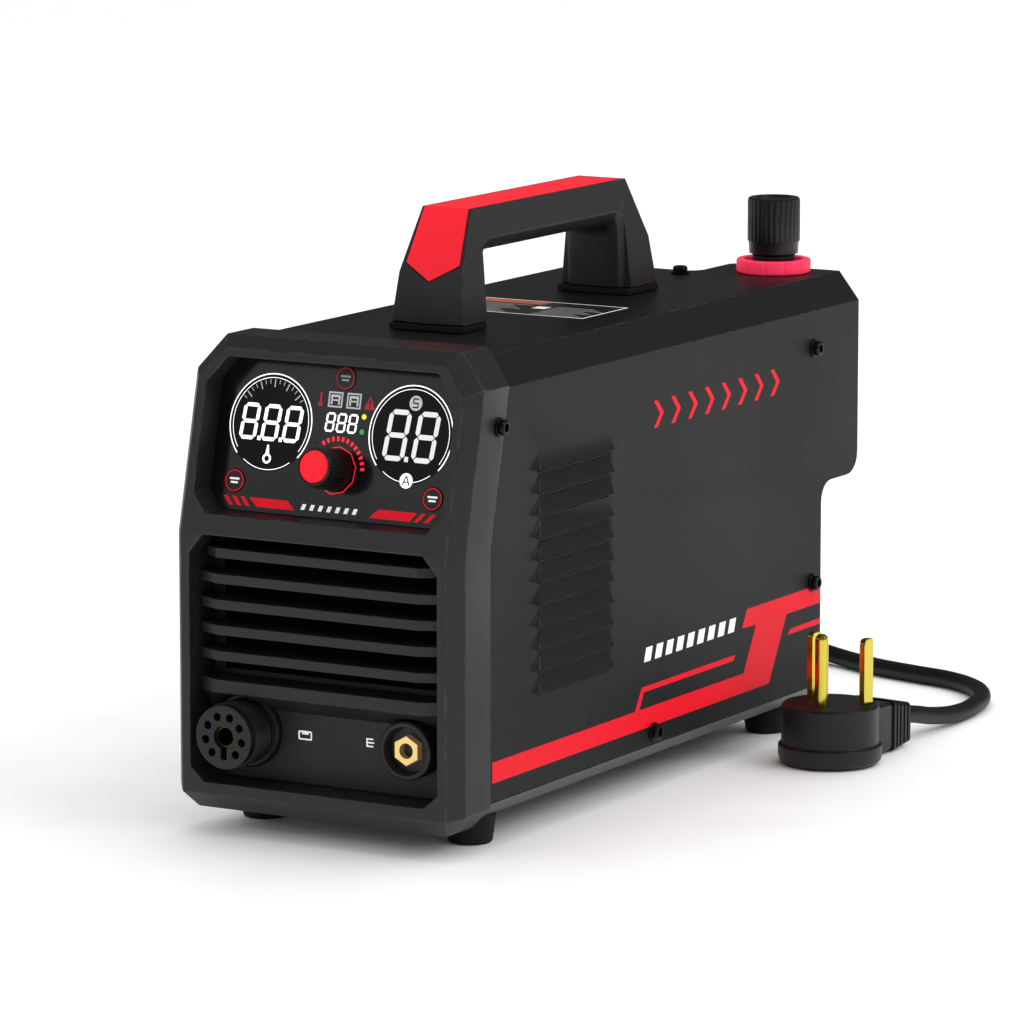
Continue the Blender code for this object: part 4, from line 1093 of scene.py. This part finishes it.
def knob_scale():
    """The red lamps over the knob, and a red ten-sided line round its foot, which is a painted
    highlight on the knob's base.
    """
    lamps = []
    for i in range(12):
        angle = math.radians(124 - 118 * i / 11)
        lamps.append(tick(KNOB_AT, angle, 15.2, 13.1, 0.75, 0.6375))
    displayed("level_lamps", lamps, "lit_red")
    # Painted highlight: the glowing ten-sided line stands for the light caught on the knob's base.
    ring = {"outer": circle(11.0, 10, KNOB_AT, 0.2), "inner": circle(10.5, 10, KNOB_AT, 0.2)}
    displayed("knob_ring", [ring], "lit_red")


def front_stripes():
    """Red stripes along the fascia's foot, with a row of white dashes between them."""
    low, high = 152.7, 156.8
    red = []
    for i in range(3):
        left = -58.6 + 4.6 * i
        red.append(slanted(left, left + 2.3, left + 3.5, left + 5.8, low, high))
    red.append(slanted(-44.6, -23.8, -39.9, -19.5, low, high))
    red.append(slanted(25.2, 45.6, 20.5, 42.3, low, high))
    for left in (48.0, 53.2):
        red.append(slanted(left, left + 2.4, left - 3.8, left - 1.4, low, high))
    displayed("fascia_stripes", red, "print_red", INK)
    white = []
    for i in range(7):
        left = -15.4 + 4.6 * i
        white.append(slanted(left, left + 2.0, left - 0.9, left + 1.1, 153.4, 156.0))
    displayed("fascia_dashes", white, "print_white", INK)


def button_prints():
    """A red ring and two short bars on each button."""
    buttons = {
        "unit_button": ((-53.3, 163.7), "print_red", "print_white"),
        "post_flow_button": ((53.0, 163.6), "print_red", "print_white"),
        "mode_button": ((0.0, 213.6), "dim_red", "print_grey"),
    }
    for name, ((x, z), ring, legend) in buttons.items():
        edge = [band(4.95, 0.5, (x, z), 48)]
        markings(name + "_ring", edge, on_fascia, ring, 0.62, 0.3, name)
        bars = [box_outline(x - 2.6, z + 0.4, x + 2.6, z + 1.3)]
        bars.append(box_outline(x - 1.9, z - 1.3, x + 1.9, z - 0.4))
        markings(name + "_bars", bars, on_fascia, legend, 0.58, 0.4, name)


def panel_icons():
    """A torch plug and a clamp, drawn beside their sockets."""
    lead = {
        "outer": [(-18.6, 46.2), (-18.0, 45.6), (-11.6, 45.6), (-11.2, 46.0), (-11.2, 49.4),
                  (-11.7, 49.9), (-18.0, 49.9), (-18.6, 49.3)],
        "inner": [(-17.8, 46.6), (-17.6, 46.3), (-12.2, 46.3), (-11.9, 46.6), (-11.9, 48.9),
                  (-12.2, 49.2), (-17.6, 49.2), (-17.8, 48.9)],
    }
    clamp = [
        [(18.2, 45.9), (18.9, 45.9), (18.9, 50.0), (18.2, 50.0)],
        box_outline(18.9, 49.3, 21.9, 50.0),
        box_outline(18.9, 45.9, 21.9, 46.6),
        box_outline(18.9, 47.6, 22.3, 48.3),
    ]
    tab = box_outline(-16.6, 48.2, -13.0, 49.2)
    markings("socket_icons", [lead, tab] + clamp, on_panel, "print_white")


def slat_shade_sheet():
    """A black sheet with a fine bump behind the slats: painted shade where the gaps between them
    would show light.
    """
    sheet = [box_outline(-61.0, 73.5, 61.0, 138.5)]
    markings("slat_shade_sheet", sheet, lambda x, z, y: (x, y, z), "slat_shade_black",
             -170.9, -171.6)


# ---------------------------------------------------------------- side and top markings


def side_markings():
    """On each side a stepped red stripe, a row of chevrons and a row of white bars."""
    stripe = [
        (-163.5, 31.4), (108.4, 31.7), (127.0, 63.7), (163.5, 63.8), (163.5, 73.1),
        (84.8, 72.9), (79.8, 64.1), (94.5, 63.6), (81.6, 41.3), (-163.5, 41.2),
    ]
    dash = [(128.1, 53.0), (163.5, 53.0), (163.5, 55.9), (131.4, 55.6)]
    branch = [
        (-29.0, 41.0), (-24.8, 41.0), (-20.0, 49.3), (70.4, 49.4), (72.9, 52.1), (-22.1, 51.9),
    ]
    for sign, name in ((1, "right"), (-1, "left")):
        place = on_side(sign)
        markings(f"stripe_{name}", [stripe, branch, dash], place, "print_red")
        chevrons = []
        for i in range(8):
            y = -11.0 + 17.0 * i
            chevrons.append([(y, 175.5), (y + 3.6, 175.5), (y + 9.6, 182.0), (y + 3.6, 188.5),
                             (y, 188.5), (y + 6.0, 182.0)])
        markings(f"chevrons_{name}", chevrons, place, "print_red")
        bars = []
        for i in range(9):
            y = -20.0 + 10.6 * i
            bars.append(slanted(y + 2.2, y + 8.6, y, y + 6.4, 63.8, 70.6))
        markings(f"bars_{name}", bars, place, "print_white")


def top_label():
    """A dark label with a white rim, an orange header strip and rows of grey bars."""
    proud = 0.12
    sheet = [box_outline(-38.0, -20.0, 41.0, 25.0)]
    markings("label_sheet", sheet, on_top, "label_black", 0.08)
    rim = {"outer": sheet[0], "inner": box_outline(-37.2, -19.2, 40.2, 24.2)}
    white = [rim, box_outline(1.0, 1.0, 8.0, 8.0)]
    markings("label_rim", white, on_top, "print_white", proud)
    header = [box_outline(-36.5, 14.0, 0.0, 23.4)]
    markings("label_header", header, on_top, "label_orange", proud)
    rows = []
    for i in range(9):
        low = -17.6 + 3.4 * i
        rows.append(box_outline(10.5, low, 38.6 - (i % 3) * 4.0, low + 1.0))
        rows.append(box_outline(-36.0, low, -3.0 - (i % 4) * 3.0, low + 1.0))
    markings("label_rows", rows, on_top, "print_grey", proud)


# ---------------------------------------------------------------- the scene

camera()
cord, cord_length = mains_lead()
stage()
frame_nodes()
screws()
feet()
regulator_controls()
encoder()
torch_details()
ground_details()
fan_grille()
gland()
lead_pieces = [plug_ribs(), coil_tie("coil_tie_a", 215.0), coil_tie("coil_tie_b", 330.0)]
# Painted shade behind the grille's slats.
slat_shade_sheet()
gauge("left", GAUGE_LEFT)
gauge("right", GAUGE_RIGHT)
figures()
gauge_ticks()
drop_icon()
unit_discs()
mode_icons()
status_icons()
knob_scale()
front_stripes()
button_prints()
panel_icons()
side_markings()
top_label()
